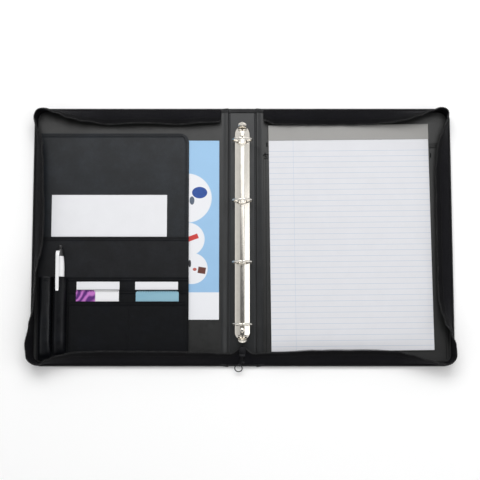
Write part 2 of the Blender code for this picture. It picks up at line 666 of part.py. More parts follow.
def pen():
    """A click pen in the right-hand sleeve: barrel with a bore for the button, tip and clip."""
    across = Matrix.Rotation(math.radians(-90), 4, "X")  # the profile's +Z becomes +Y
    place = Matrix.Translation((PEN_X, 0.0, PEN_Z)) @ across
    barrel = [
        (0.0, -28.0), (2.5, -28.0), (2.5, -19.5), (3.0, -19.5), (3.3, -20.5), (4.4, -27.0), (5.4, -36.0), (5.8, -46.0), (5.8, -58.0),
        (5.3, -90.0), (4.8, -128.0), (4.6, -134.0), (0.0, -134.0),
    ]
    smooth(turned("pen_barrel", barrel, 24, PEN_WHITE, place))
    tip = [(0.0, -134.3), (4.5, -134.3), (4.2, -138.0), (2.2, -146.0), (0.9, -149.0), (0.5, -150.0), (0.0, -150.0)]
    smooth(turned("pen_tip", tip, 16, NICKEL, place))
    button = [(0.0, -13.3), (1.7, -13.5), (2.2, -14.3), (2.2, -24.0), (0.0, -24.0)]
    smooth(turned("pen_button", button, 16, PEN_BLACK, place))
    clip = [(-21.5, 17.7), (-22.6, 19.4), (-25.0, 20.7), (-30.0, 21.1), (-50.0, 21.0), (-68.0, 20.9), (-72.0, 21.3)]
    rows = [[(CLIP_X - 2.2 + 4.4 * t, y, z) for t in (0.0, 0.5, 1.0)] for y, z in clip]
    sheet("pen_clip", rows, 0.8, PEN_WHITE)


# ---------------------------------------------------------------- joints

def joint(name, point, parent, nodes):
    """An empty on a joint's axis that carries the nodes which move about it, and the joints beyond it."""
    pivot = bpy.data.objects.new(name, None)
    CASE.objects.link(pivot)
    pivot.location = Vector(point) * MM
    back = Matrix.Translation(-pivot.location)
    if parent:
        pivot.parent = parent
        pivot.matrix_parent_inverse = Matrix.Translation(-Vector(parent["point"]))
    pivot["point"] = list(Vector(point) * MM)
    for node in nodes:
        moved = bpy.data.objects[node]
        moved.parent = pivot
        moved.matrix_parent_inverse = back
    return pivot


def joints():
    fold_z = SKIN_Z / 2
    reach, height = LEVER_PIN
    blade_mid = sum(BLADE_Z) / 2
    spine_nodes = ["spine_skin", "spine_board", "spine_lining", "spine_gusset", "zip_joined_end", "zip_end_stop"]
    spine_nodes += ["ring_casing", "rivet_top", "rivet_bottom", "lever_pin_top", "lever_pin_bottom"]
    spine_fold = joint("spine_fold", (HINGE_X, 0, fold_z), None, spine_nodes)
    front_nodes = ["front_cover_skin", "front_cover_board", "front_cover_lining", "front_gusset", "front_zip_chain"]
    front_nodes += ["document_pocket", "envelope_pocket", "organiser_panel", "card_slot_upper", "card_slot_lower"]
    front_nodes += ["pen_sleeve_left", "pen_sleeve_right"]
    front_fold = joint("front_cover_fold", (-HINGE_X, 0, fold_z), spine_fold, front_nodes)
    for side, word in ((-1, "left"), (1, "right")):
        nodes = [f"ring_blade_{word}"] + [f"ring_{i}_{word}" for i in range(1, 5)]
        joint(f"rings_{word}_hinge", (side * BLADE_X[1], RING_CENTRE_Y, blade_mid), spine_fold, nodes)
    for end, word in ((1, "top"), (-1, "bottom")):
        joint(f"lever_{word}_hinge", (0, RING_CENTRE_Y + end * reach, height), spine_fold, [f"lever_{word}"])
    slide = joint("zip_slide", (0, SLIDER_Y[1], SLIDER_Z[0]), spine_fold, ["zip_slider"])
    swing = joint("zip_pull_hinge", PULL_PIVOT, slide, ["zip_pull_tab"])
    joint("pull_ring_hinge", ring_frame().to_translation(), swing, ["zip_pull_ring"])
    pen_slide = joint("pen_slide", (PEN_X, -19.5, PEN_Z), front_fold, ["pen_barrel", "pen_tip", "pen_clip"])
    joint("pen_click", (PEN_X, -19.5, PEN_Z), pen_slide, ["pen_button"])
    for name, (left, top, z) in CARDS.items():
        joint(name + "_slide", (left + CARD[0] / 2, top, z), front_fold, [name])
    joint("envelope_slide", (-174.2, 53.6, 5.05), front_fold, ["envelope"])
    joint("leaflet_slide", (-110.2, 126.2, 3.95), front_fold, ["leaflet"])
    joint("pad_slide", (*PAD_CENTRE, 4.0), None, ["pad_backing", "pad_sheets", "pad_binding"])


# ---------------------------------------------------------------- the case

def build():
    cover("front_cover", -1)
    cover("back_cover", 1)
    rivet_holes = spine()
    gusset("front", -1, FRONT_LEAN)
    gusset("back", 1, BACK_LEAN)
    spine_zip()
    zip_slider()
    zip_pull()
    casing(rivet_holes)
    blades()
    half_rings()
    levers(rivet_holes)
    pockets()
    pad_pocket()
    contents()
    writing_pad()
    pen()
    joints()


build()
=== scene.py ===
"""Looks of an A4 zip-round portfolio case lying open: leatherette covers, cloth gussets with their
zip, pockets and what they hold, ring mechanism and writing pad.

Lengths are in millimetres, turned into metres where a mesh is made. +X is the pad side, +Y the head of
the case and +Z out of the lining."""

import math

import bmesh
import bpy
from mathutils import Matrix, Vector, noise


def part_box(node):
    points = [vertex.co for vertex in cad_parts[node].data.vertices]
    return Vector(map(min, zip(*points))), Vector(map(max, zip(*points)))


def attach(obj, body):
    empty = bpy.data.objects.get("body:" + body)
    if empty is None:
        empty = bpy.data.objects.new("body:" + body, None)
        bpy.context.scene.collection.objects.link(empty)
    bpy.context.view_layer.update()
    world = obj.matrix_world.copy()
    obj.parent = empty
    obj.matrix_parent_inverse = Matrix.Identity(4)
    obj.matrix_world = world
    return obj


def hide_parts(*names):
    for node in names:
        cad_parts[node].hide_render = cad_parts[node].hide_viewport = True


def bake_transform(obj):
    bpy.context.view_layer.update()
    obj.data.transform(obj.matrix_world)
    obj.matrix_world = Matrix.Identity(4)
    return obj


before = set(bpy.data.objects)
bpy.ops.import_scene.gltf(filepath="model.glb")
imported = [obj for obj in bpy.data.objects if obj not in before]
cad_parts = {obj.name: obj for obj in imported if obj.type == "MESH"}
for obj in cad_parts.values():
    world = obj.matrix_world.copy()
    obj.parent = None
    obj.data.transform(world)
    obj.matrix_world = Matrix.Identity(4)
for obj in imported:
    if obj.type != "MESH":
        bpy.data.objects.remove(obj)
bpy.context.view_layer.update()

MM = 0.001
UP = Vector((0.0, 0.0, 1.0))


# ---------------------------------------------------------------- sizes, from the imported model

def span(node):
    """Lowest and highest corner of a CAD node, in millimetres."""
    low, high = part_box(node)
    return low / MM, high / MM


SKIN_HIGH = span("back_cover_skin")[1]
HALF_LENGTH = SKIN_HIGH.y
OUTER_X = SKIN_HIGH.x
LINING_LOW, LINING_HIGH = span("back_cover_lining")
COVER_START = LINING_LOW.x  # a gutter runs from the spine's lining to the cover's
SPINE_HALF = span("spine_lining")[1].x
CORNER_RADIUS = 15.0
SPINE_SEAM_X = 16.5
CASING_LOW, CASING_HIGH = span("ring_casing")
MECHANISM_Y = (CASING_LOW.y + CASING_HIGH.y) / 2
CASING_HALF = CASING_HIGH.y - MECHANISM_Y
CASING_HALF_WIDTH = CASING_HIGH.x
FRONT, BACK = -1, 1  # which side of the spine
STRIP_WIDTH = 20.5  # binding strip at the head of the pad
RULE_PITCH = 7.3
MARGIN_IN = 32.0  # margin line, from the pad's left edge


# ---------------------------------------------------------------- node materials

class Graph:
    """A Principled material with a few short ways of adding nodes to it."""

    def __init__(self, name, colour, roughness, metallic=0.0, **more):
        self.material = bpy.data.materials.new(name)
        self.material.use_nodes = True
        self.tree = self.material.node_tree
        self.shader = self.tree.nodes["Principled BSDF"]
        self.set(self.shader, {"Base Color": (*colour, 1.0), "Roughness": roughness, "Metallic": metallic})
        self.set(self.shader, more)
        self.place = self.node("ShaderNodeTexCoord").outputs["Object"]

    def set(self, node, values):
        for key, value in values.items():
            socket = node.inputs[key]
            if isinstance(value, bpy.types.NodeSocket):
                self.tree.links.new(value, socket)
            else:
                socket.default_value = value

    def node(self, kind, values=None, **settings):
        made = self.tree.nodes.new(kind)
        for key, value in settings.items():
            setattr(made, key, value)
        self.set(made, values or {})
        return made

    def moved(self, shift=(0, 0, 0), turn=(0, 0, 0), scale=(1, 1, 1), source=None):
        values = {"Vector": source or self.place, "Location": shift, "Rotation": turn, "Scale": scale}
        return self.node("ShaderNodeMapping", values).outputs["Vector"]

    def noise(self, scale, detail=3.0, source=None, roughness=0.55, distortion=0.0):
        values = {"Vector": source or self.place, "Scale": scale, "Detail": detail, "Roughness": roughness}
        values["Distortion"] = distortion
        return self.node("ShaderNodeTexNoise", values).outputs["Fac"]

    def cells(self, scale, source=None, feature="F1"):
        values = {"Vector": source or self.place, "Scale": scale}
        return self.node("ShaderNodeTexVoronoi", values, feature=feature).outputs["Distance"]

    def maths(self, operation, a, b=0.0, clamp=False):
        made = self.node("ShaderNodeMath", operation=operation, use_clamp=clamp)
        self.set(made, {0: a, 1: b})
        return made.outputs[0]

    def ranged(self, value, low, high, out_low, out_high):
        values = {"Value": value, "From Min": low, "From Max": high, "To Min": out_low, "To Max": out_high}
        return self.node("ShaderNodeMapRange", values).outputs["Result"]

    def mix(self, share, a, b):
        made = self.node("ShaderNodeMix", data_type="RGBA")
        made.inputs[0].default_value = 0.5
        for index, value in ((0, share), (6, a), (7, b)):
            if isinstance(value, bpy.types.NodeSocket):
                self.tree.links.new(value, made.inputs[index])
            elif index:
                made.inputs[index].default_value = (*value, 1.0)
            else:
                made.inputs[index].default_value = value
        return made.outputs[2]

    def axes(self, source=None):
        made = self.node("ShaderNodeSeparateXYZ", {"Vector": source or self.place})
        return made.outputs

    def colour(self, value):
        self.set(self.shader, {"Base Color": value})

    def rough(self, value):
        self.set(self.shader, {"Roughness": value})

    def bump(self, height, depth_mm, strength=1.0):
        values = {"Height": height, "Strength": strength, "Distance": depth_mm * MM}
        under = self.shader.inputs["Normal"]
        if under.is_linked:
            values["Normal"] = under.links[0].from_socket
        self.set(self.shader, {"Normal": self.node("ShaderNodeBump", values).outputs["Normal"]})


def tone(colour, factor):
    return tuple(min(1.0, c * factor) for c in colour)


def leather_base(name, colour, roughness, grain=1500.0, depth=0.022, spread=0.5, gloss=0.25):
    """Leatherette: a net of fine pores over soft creases, with cloudy wear in its colour and gloss.

    Returns the graph and its colour."""
    g = Graph(name, colour, roughness, **{"Specular IOR Level": gloss})
    warped = g.node("ShaderNodeVectorMath", operation="ADD")
    wobble = g.node("ShaderNodeTexNoise", {"Vector": g.place, "Scale": 260.0, "Detail": 2.0})
    small = g.node("ShaderNodeVectorMath", operation="SCALE")
    g.set(small, {0: wobble.outputs["Color"], "Scale": 0.0012})
    g.set(warped, {0: g.place, 1: small.outputs[0]})
    pores = g.cells(grain, warped.outputs[0])
    pebbles = g.ranged(pores, 0.05, 0.55, 1.0, 0.0)
    creases = g.noise(210.0, 4.0)
    blotch = g.noise(42.0, 6.0, roughness=0.66)
    shade = g.maths("ADD", g.maths("MULTIPLY", blotch, 0.75), g.maths("MULTIPLY", pebbles, 0.25))
    g.rough(g.ranged(g.maths("ADD", blotch, creases), 0.7, 1.3, roughness + 0.10, roughness - 0.05))
    g.bump(pebbles, depth)
    g.bump(creases, depth * 3.0)
    g.bump(g.noise(38.0, 3.0), depth * 13.0, 0.5)
    return g, g.mix(g.ranged(shade, 0.34, 0.7, 0.0, 1.0), tone(colour, 1 - spread), tone(colour, 1 + spread))


def leather(name, colour, roughness, **more):
    g, surface = leather_base(name, colour, roughness, **more)
    g.colour(surface)
    return g.material


LINING_GRAIN = {"grain": 1300.0, "depth": 0.02, "spread": 0.25}


def spine_look(colour, roughness, gloss):
    """The lining where it is pressed into the spine, with painted shade in the needle line and deep in the
    gutters.
    """
    g, surface = leather_base("spine_lining_look", colour, roughness, **LINING_GRAIN, gloss=gloss)
    x, y, _ = g.axes()
    away = g.maths("ABSOLUTE", x)
    whole = -2 * HALF_LENGTH, 2 * HALF_LENGTH
    # Painted shade: the needle line and the bottom of each gutter are darkened in the colour to stand for the
    # shade in these grooves; the same mask also roughens them.
    seam = box_mask(g, away, y, SPINE_SEAM_X - 0.55, SPINE_SEAM_X + 0.55, *whole, 0.3)
    fold = box_mask(g, away, y, SPINE_HALF + 0.1, SPINE_HALF + 1.5, *whole, 0.4)
    dark = g.maths("MAXIMUM", g.maths("MULTIPLY", seam, 0.85), g.maths("MULTIPLY", fold, 0.9))
    g.colour(g.mix(dark, surface, (0.001, 0.001, 0.0013)))
    g.rough(g.maths("ADD", roughness, g.maths("MULTIPLY", dark, 0.62)))
    return g.material


def cloth(name, colour, roughness=0.9, thread=0.5, depth=0.12):
    """Woven cloth: two crossed sets of threads, with slubs and a little lint."""
    more = {"Sheen Weight": 0.02, "Sheen Roughness": 0.4, "Specular IOR Level": 0.12}
    g = Graph(name, colour, roughness, **more)
    scale = 0.5 / (thread * MM)
    weave = None
    for turn in ((0.0, 0.0, 0.785), (0.785, 0.0, -0.785), (0.0, 0.785, 0.0)):
        values = {"Vector": g.moved(turn=turn), "Scale": scale, "Distortion": 0.6, "Detail": 1.0}
        fac = g.node("ShaderNodeTexWave", values).outputs["Fac"]
        weave = fac if weave is None else g.maths("MULTIPLY", g.maths("ADD", weave, fac), 0.6)
    lint = g.noise(700.0, 3.0)
    wear = g.noise(22.0, 3.0)
    shade = g.maths("ADD", g.maths("MULTIPLY", weave, 0.5), g.maths("MULTIPLY", wear, 0.5))
    g.colour(g.mix(g.ranged(shade, 0.2, 0.8, 0.0, 1.0), tone(colour, 0.6), tone(colour, 1.5)))
    g.rough(g.ranged(lint, 0.3, 0.7, roughness - 0.1, min(1.0, roughness + 0.06)))
    g.bump(weave, depth)
    g.bump(lint, depth * 0.6)
    g.bump(g.noise(55.0, 2.0), depth * 5.0, 0.6)
    return g.material


def metal(name, colour, roughness, grain=0.02, stretch=(60.0, 3.0, 60.0)):
    """Plated metal: faint lines from polishing, and smudges that blur the reflection here and there."""
    g = Graph(name, colour, roughness, 1.0)
    lines = g.noise(40.0, 4.0, g.moved(scale=stretch))
    smudge = g.noise(70.0, 4.0)
    g.rough(g.ranged(g.maths("ADD", lines, smudge), 0.7, 1.3, roughness * 0.85, roughness * 1.25))
    g.colour(g.mix(g.ranged(smudge, 0.35, 0.7, 0.0, 1.0), colour, tone(colour, 0.93)))
    g.bump(lines, grain)
    return g.material


def plastic(name, colour, roughness, depth=0.01):
    """Moulded plastic: even colour with faint flow marks and handling scuffs."""
    g = Graph(name, colour, roughness, **{"Coat Weight": 0.15, "Coat Roughness": 0.2})
    flow = g.noise(90.0, 3.0, g.moved(scale=(1, 0.25, 1)))
    g.colour(g.mix(g.ranged(flow, 0.3, 0.7, 0.0, 1.0), tone(colour, 0.95), tone(colour, 1.04)))
    g.rough(g.ranged(g.noise(420.0, 4.0), 0.3, 0.7, roughness - 0.04, roughness + 0.1))
    g.bump(flow, depth)
    return g.material


def paper_base(name, colour, roughness=0.85, depth=0.02):
    """Paper: short fibres and a slightly cloudy formation. Returns the graph and its colour."""
    g = Graph(name, colour, roughness, **{"Specular IOR Level": 0.3})
    fibres = g.noise(2600.0, 4.0, g.moved(scale=(1, 0.4, 1)))
    cloud = g.noise(60.0, 3.0)
    shade = g.maths("ADD", g.maths("MULTIPLY", fibres, 0.5), g.maths("MULTIPLY", cloud, 0.5))
    g.bump(fibres, depth)
    g.rough(g.ranged(cloud, 0.3, 0.7, roughness - 0.05, roughness + 0.05))
    return g, g.mix(g.ranged(shade, 0.3, 0.7, 0.0, 1.0), tone(colour, 0.965), tone(colour, 1.02))


def paper(name, colour, roughness=0.85, depth=0.02):
    g, surface = paper_base(name, colour, roughness, depth)
    g.colour(surface)
    return g.material


def disc_mask(g, x, y, cx, cy, rx, ry=None):
    """1 inside an ellipse about (cx, cy) in millimetres, 0 outside, with a narrow soft edge."""
    dx = g.maths("DIVIDE", g.maths("SUBTRACT", x, cx * MM), rx * MM)
    dy = g.maths("DIVIDE", g.maths("SUBTRACT", y, cy * MM), (ry or rx) * MM)
    away = g.maths("ADD", g.maths("MULTIPLY", dx, dx), g.maths("MULTIPLY", dy, dy))
    return g.ranged(away, 0.97, 1.03, 1.0, 0.0)


def box_mask(g, x, y, left, right, low, high, edge=0.15):
    """1 inside a rectangle given in millimetres."""
    masks = []
    for value, start, stop in ((x, left, right), (y, low, high)):
        masks.append(g.ranged(value, (start - edge) * MM, (start + edge) * MM, 0.0, 1.0))
        masks.append(g.ranged(value, (stop - edge) * MM, (stop + edge) * MM, 1.0, 0.0))
    product = masks[0]
    for mask in masks[1:]:
        product = g.maths("MULTIPLY", product, mask)
    return product


def ruled_paper(name, colour, line, pad):
    """Writing paper ruled across, with one margin line. pad holds its centre, turn and half sizes."""
    g, surface = paper_base(name, colour)
    centre, turn, half_width, half_length = pad
    flat = g.moved(shift=(-centre[0] * MM, -centre[1] * MM, 0.0))
    x, y, _ = g.axes(g.moved(turn=(0.0, 0.0, -turn), source=flat))
    first = half_length - STRIP_WIDTH - 2 * RULE_PITCH
    rows = g.maths("DIVIDE", g.maths("SUBTRACT", y, first * MM), RULE_PITCH * MM)
    near = g.maths("ABSOLUTE", g.maths("SUBTRACT", g.maths("FRACT", g.maths("ADD", rows, 100.5)), 0.5))
    stroke = g.ranged(near, 0.018, 0.045, 1.0, 0.0)
    stroke = g.maths("MULTIPLY", stroke, g.ranged(y, first * MM + 0.001, first * MM + 0.0015, 1.0, 0.0))
    margin = MARGIN_IN - half_width
    upright = box_mask(g, x, y, margin - 0.15, margin + 0.15, -half_length, half_length, 0.1)
    ink = g.maths("MULTIPLY", g.maths("MAXIMUM", stroke, upright), 0.9)
    g.colour(g.mix(ink, surface, line))
    return g.material


# ---------------------------------------------------------------- meshes

def finish_mesh(made, look, angle):
    made.data.materials.append(look)
    made.data.shade_smooth()
    made.data.set_sharp_from_angle(angle=math.radians(angle))


def piece(name, verts, faces, look, body=None, slot=None, stands_for=(), angle=40.0):
    """A mesh from points in millimetres, riding on a body and standing for the CAD nodes named."""
    mesh = bpy.data.meshes.new(name)
    mesh.from_pydata([Vector(v) * MM for v in verts], [], faces)
    bm = bmesh.new()
    bm.from_mesh(mesh)
    bmesh.ops.remove_doubles(bm, verts=bm.verts, dist=1e-6)
    bmesh.ops.recalc_face_normals(bm, faces=bm.faces)
    bm.to_mesh(mesh)
    bm.free()
    made = bpy.data.objects.new(name, mesh)
    bpy.context.scene.collection.objects.link(made)
    finish_mesh(made, look, angle)
    if body:
        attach(made, body)
    if stands_for:
        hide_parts(*stands_for)
    return made


def quads(rows, columns, wrap=False, start=0):
    """Faces of a grid whose points come row by row."""
    last = columns if wrap else columns - 1
    faces = []
    for i in range(rows - 1):
        for j in range(last):
            a, b = start + i * columns + j, start + i * columns + (j + 1) % columns
            faces.append((a, b, b + columns, a + columns))
    return faces


def sweep(sections, caps=True, wrap=True):
    """Verts and faces of closed sections joined one to the next."""
    count = len(sections[0])
    verts = [p for section in sections for p in section]
    faces = quads(len(sections), count, wrap)
    if caps:
        faces.append(tuple(range(count)))
        faces.append(tuple(range(len(verts) - count, len(verts))))
    return verts, faces


def joined(parts):
    """Several (verts, faces) as one."""
    verts, faces = [], []
    for more_verts, more_faces in parts:
        faces += [tuple(i + len(verts) for i in face) for face in more_faces]
        verts += list(more_verts)
    return verts, faces


def tube(path, radius, sides=14, round_ends=0.0, closed=False):
    """A round wire along points; radius may be a function of the share of the way along."""
    path = [Vector(p) for p in path]
    count = len(path)
    normal = None
    sections = []
    for i, p in enumerate(path):
        ahead = path[(i + 1) % count] if closed or i < count - 1 else p
        behind = path[i - 1] if closed or i else p
        way = (ahead - behind).normalized()
        if normal is None:
            normal = way.orthogonal().normalized()
        normal = (normal - way * normal.dot(way)).normalized()
        other = way.cross(normal)
        r = radius(i / (count - 1)) if callable(radius) else radius
        if round_ends and i in (0, count - 1):
            r *= round_ends
        turns = [2 * math.pi * k / sides for k in range(sides)]
        sections.append([p + normal * r * math.cos(a) + other * r * math.sin(a) for a in turns])
    if closed:
        verts = [p for s in sections for p in s]
        faces = quads(count, sides, True)
        faces += [(j + (count - 1) * sides, (j + 1) % sides + (count - 1) * sides, (j + 1) % sides, j)
                  for j in range(sides)]
        return verts, faces
    return sweep(sections)


def lathe(profile, centre, axis=UP, steps=40):
    """A profile of (radius, height) pairs turned about an axis through a point."""
    axis = Vector(axis).normalized()
    side = axis.orthogonal().normalized()
    other = axis.cross(side)
    sections = []
    for radius, height in profile:
        turns = [2 * math.pi * k / steps for k in range(steps)]
        middle = Vector(centre) + axis * height
        ways = [side * math.cos(a) + other * math.sin(a) for a in turns]
        sections.append([middle + way * max(radius, 1e-3) for way in ways])
    return sweep(sections)


def smooth_curve(points, per_span):
    """A Catmull-Rom curve through points of any size."""
    points = [Vector(p) for p in points]
    made = []
    for i in range(len(points) - 1):
        p0, p1, p2, p3 = points[max(i - 1, 0)], points[i], points[i + 1], points[min(i + 2, len(points) - 1)]
        for k in range(per_span):
            t = k / per_span
            made.append(0.5 * (2 * p1 + (p2 - p0) * t + (2 * p0 - 5 * p1 + 4 * p2 - p3) * t * t
                               + (3 * p1 - p0 - 3 * p2 + p3) * t ** 3))
    return made + [points[-1]]


def evenly(path, step, start=0.0):
    """Points and directions at even distances along a polyline."""
    made, due, run = [], start, 0.0
    for a, b in zip(path, path[1:]):
        length = (b - a).length
        while length > 1e-9 and due <= run + length:
            made.append((a.lerp(b, (due - run) / length), (b - a) / length, due))
            due += step
        run += length
    return made


def capsule(centre, way, length, radius, sides=6, flat=1.0, up=UP):
    """A short round-ended bar."""
    across = way.cross(up).normalized()
    lift = across.cross(way).normalized()
    sections = []
    for share, size in ((-0.5, 0.35), (-0.36, 0.9), (0.0, 1.05), (0.36, 0.9), (0.5, 0.35)):
        turns = [2 * math.pi * k / sides for k in range(sides)]
        sections.append([centre + way * length * share + across * radius * size * math.cos(a)
                         + lift * radius * size * flat * math.sin(a) for a in turns])
    return sweep(sections)


def ease(t):
    t = max(0.0, min(1.0, t))
    return t * t * (3 - 2 * t)


def wave(x, y, z=0.0, scale=0.02):
    """Smooth random height, -1 to 1, the same each run."""
    return noise.noise(Vector((x * scale, y * scale, z)))


STITCH_PITCH = 3.1
STITCH_LENGTH = 2.5
STITCH_R = 0.33


def stitch_row(name, path, body, look, slot="leatherette", pitch=STITCH_PITCH, length=STITCH_LENGTH,
               radius=STITCH_R):
    """Thread stitches, each a short round-ended bar pulled into the surface at both ends."""
    spots = evenly([Vector(p) for p in path], pitch, pitch / 2)
    parts = [capsule(centre, way, length, radius) for centre, way, _ in spots]
    return piece(name, *joined(parts), look, body, slot, angle=60)


def thick(rows, depth):
    """Verts and faces of an evenly thick sheet about the grid rows[i][j], with a rounded rim."""
    count, width = len(rows), len(rows[0])
    normals, verts = [], []
    for i in range(count):
        line = []
        for j in range(width):
            along_row = rows[i][min(j + 1, width - 1)] - rows[i][max(j - 1, 0)]
            down = rows[min(i + 1, count - 1)][j] - rows[max(i - 1, 0)][j]
            normal = along_row.cross(down)
            line.append(normal.normalized() if normal.length > 1e-9 else (line[-1] if line else UP))
        normals.append(line)
    half = depth / 2
    for sign in (1, -1):
        for i in range(count):
            for j in range(width):
                verts.append(rows[i][j] + normals[i][j] * half * sign)
    faces = quads(count, width)
    faces += [tuple(reversed(f)) for f in quads(count, width, start=count * width)]
    rim = [(0, j) for j in range(width)] + [(i, width - 1) for i in range(1, count)]
    rim += [(count - 1, j) for j in range(width - 2, -1, -1)] + [(i, 0) for i in range(count - 2, 0, -1)]
    first = len(verts)
    for i, j in rim:
        inner = rows[min(max(i, 1), count - 2)][min(max(j, 1), width - 2)]
        out = rows[i][j] - inner
        verts.append(rows[i][j] + (out.normalized() * half * 0.8 if out.length > 1e-9 else out))
    for k in range(len(rim)):
        after = (k + 1) % len(rim)
        a, b = rim[k][0] * width + rim[k][1], rim[after][0] * width + rim[after][1]
        below = count * width
        faces.append((a, first + k, first + after, b))
        faces.append((a + below, b + below, first + after, first + k))
    return verts, faces


def spaced(low, high, step, close=(0.5, 1.3, 2.2, 3.2, 4.0, 4.7, 6.0)):
    """Places from low to high: close together near both ends, then one every step."""
    near = [low] + [low + c for c in close] + [high - c for c in reversed(close)] + [high]
    first, last = low + close[-1], high - close[-1]
    count = max(1, round((last - first) / step))
    middle = [first + (last - first) * k / count for k in range(1, count)]
    return sorted(near[:len(close) + 1] + middle + near[len(close) + 1:])


HEM = 4.3
HEM_SEAM = 2.6
HEM_RISE = 0.38


def hem_height(away):
    """How far a folded hem lifts the surface, at a distance from the edge."""
    seam = 0.3 * max(0.0, 1 - abs(away - HEM_SEAM) / 1.0)
    return HEM_RISE * (1 - ease((away - HEM + 0.5) / 1.0)) - seam


def panel_grid(left, right, low, high, height, step=5.0, round_right=0.0, round_low_left=0.0, hems="",
               slope=0.0):
    """Grid of a flat panel: height(x, y) is its middle, hems name the edges folded over (t top, r right),
    and slope is how much the top edge rises from left to right."""
    rows = []
    for y in spaced(low, high, step):
        end = right
        if round_right and y > high - round_right:
            end = right - round_right + math.sqrt(max(0.0, round_right ** 2 - (y - high + round_right) ** 2))
        start = left
        if round_low_left and y < low + round_low_left:
            start = left + round_low_left
            start -= math.sqrt(max(0.0, round_low_left ** 2 - (low + round_low_left - y) ** 2))
        row = []
        for x in spaced(left, right, step):
            share = (x - left) / (right - left)
            px = start + (end - start) * share
            py = y + slope * share * (y - low) / (high - low)
            lift = 0.0
            if "t" in hems:
                lift = max(lift, hem_height(high + slope * share - py))
            if "r" in hems:
                lift = max(lift, hem_height(end - px))
            row.append(Vector((px, py, height(px, py) + lift)))
        rows.append(row)
    return rows


def panel(name, look, body, slot, stands_for, grid, depth=0.6, angle=50.0):
    verts, faces = thick(grid, depth)
    return piece(name, verts, faces, look, body, slot, stands_for, angle)


# ---------------------------------------------------------------- looks

SKIN_LOOK = leather("leatherette_look", (0.0160, 0.0164, 0.0180), 0.40)
LINING_LOOK = leather("lining_look", (0.0125, 0.0130, 0.0128), 0.33, **LINING_GRAIN, gloss=0.58)
SPINE_LOOK = spine_look((0.0095, 0.0108, 0.0122), 0.33, 0.58)
# One pocket leatherette in lit and shaded copies: the document pocket's copy is lighter and glossier as
# painted light, and the envelope pocket's copy is darker as painted shade. The darkest copy, used for the
# organiser, card panels and right sleeve, is also painted shade.
POCKET_LOOK = leather("pocket_look", (0.0095, 0.0125, 0.0170), 0.38, grain=1400.0, gloss=0.34)
SHADED_POCKET_LOOK = leather("dark_pocket_look", (0.0048, 0.0054, 0.0072), 0.36, grain=1400.0, gloss=0.17)
HALF_SHADED_POCKET_LOOK = leather("lower_pocket_look", (0.0085, 0.0092, 0.0115), 0.38, grain=1400.0, gloss=0.24)
SLEEVE_LOOK = leather("sleeve_look", (0.0055, 0.0063, 0.0082), 0.30, grain=1400.0, gloss=0.3)
GUSSET_LOOK = cloth("gusset_look", (0.0033, 0.0032, 0.0045), 0.88)
TAPE_LOOK = cloth("tape_look", (0.0030, 0.0029, 0.0036), thread=0.35)
THREAD_LOOK = cloth("thread_look", (0.0035, 0.0037, 0.0046), 0.6, thread=0.15, depth=0.03)
# Lighter than the other thread: the spine thread's grey is partly its own colour and partly painted
# highlight.
SEAM_LOOK = cloth("seam_thread_look", (0.040, 0.042, 0.046), 0.5, thread=0.15, depth=0.03)
COIL_LOOK = plastic("coil_look", (0.006, 0.006, 0.0065), 0.35)
NICKEL_LOOK = metal("nickel_look", (0.84, 0.80, 0.73), 0.17, 0.003)
DARK_METAL_LOOK = metal("slider_look", (0.030, 0.030, 0.033), 0.34, 0.005)
BOARD_LOOK = paper("board_look", (0.30, 0.27, 0.23), 0.9)
STRIP_LOOK = paper("strip_look", (0.33, 0.325, 0.315), 0.9, 0.05)
ENVELOPE_LOOK = paper("envelope_look", (0.76, 0.765, 0.79), 0.8)
WHITE_CARD_LOOK = paper("white_card_look", (0.76, 0.76, 0.79), 0.5)
PEN_WHITE_LOOK = plastic("pen_white_look", (0.80, 0.80, 0.81), 0.16)
PEN_BLACK_LOOK = plastic("pen_black_look", (0.006, 0.006, 0.007), 0.4)


# ---------------------------------------------------------------- covers

def bend_over_gutter(made):
    """Bakes the piece's placement into its mesh; the piece is not bent over the gutter."""
    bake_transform(made)


def gutter(x):
    """1 at the bottom of a gutter, which lies close beside the spine board, 0 outside it."""
    away = abs(x) - SPINE_HALF
    return ease(away / 0.9) * (1 - ease((away - 0.9) / (COVER_START - SPINE_HALF - 1.2)))


# (distance in from the edge, height) from under the cover round to the turned-in edge over the lining
SECTION = [
    (10.0, 0.0), (3.2, 0.0), (1.6, 0.06), (0.7, 0.35), (0.15, 1.0), (0.0, 1.9), (0.0, 2.9), (0.15, 3.7),
    (0.6, 4.3), (1.4, 4.68), (2.4, 4.74), (3.4, 4.66), (4.7, 4.62), (5.5, 4.55), (6.0, 4.25), (6.05, 3.5),
]
TURN_IN = SECTION[-1][0]
FLAT_FLOOR = 1.0  # height of the inside face of the outer skin


def edge_outline(inset, near_x, side, corner_steps=10):
    """A cover's edge at a distance in from it, from the foot gutter round to the head gutter."""
    radius = max(CORNER_RADIUS - inset, 1.5)
    far, top = OUTER_X - inset, HALF_LENGTH - inset
    points = []
    for k in range(26):
        points.append((near_x + (far - radius - near_x) * k / 26, -top))
    for k in range(corner_steps + 1):
        a = math.pi / 2 * (k / corner_steps - 1)
        points.append((far - radius + radius * math.cos(a), -top + radius + radius * math.sin(a)))
    for k in range(1, 30):
        points.append((far, -top + radius + 2 * (top - radius) * k / 30))
    for k in range(corner_steps + 1):
        a = math.pi / 2 * k / corner_steps
        points.append((far - radius + radius * math.cos(a), top - radius + radius * math.sin(a)))
    for k in range(1, 27):
        points.append((far - radius + (near_x - far + radius) * k / 26, top))
    return [(side * x, y) for x, y in points]


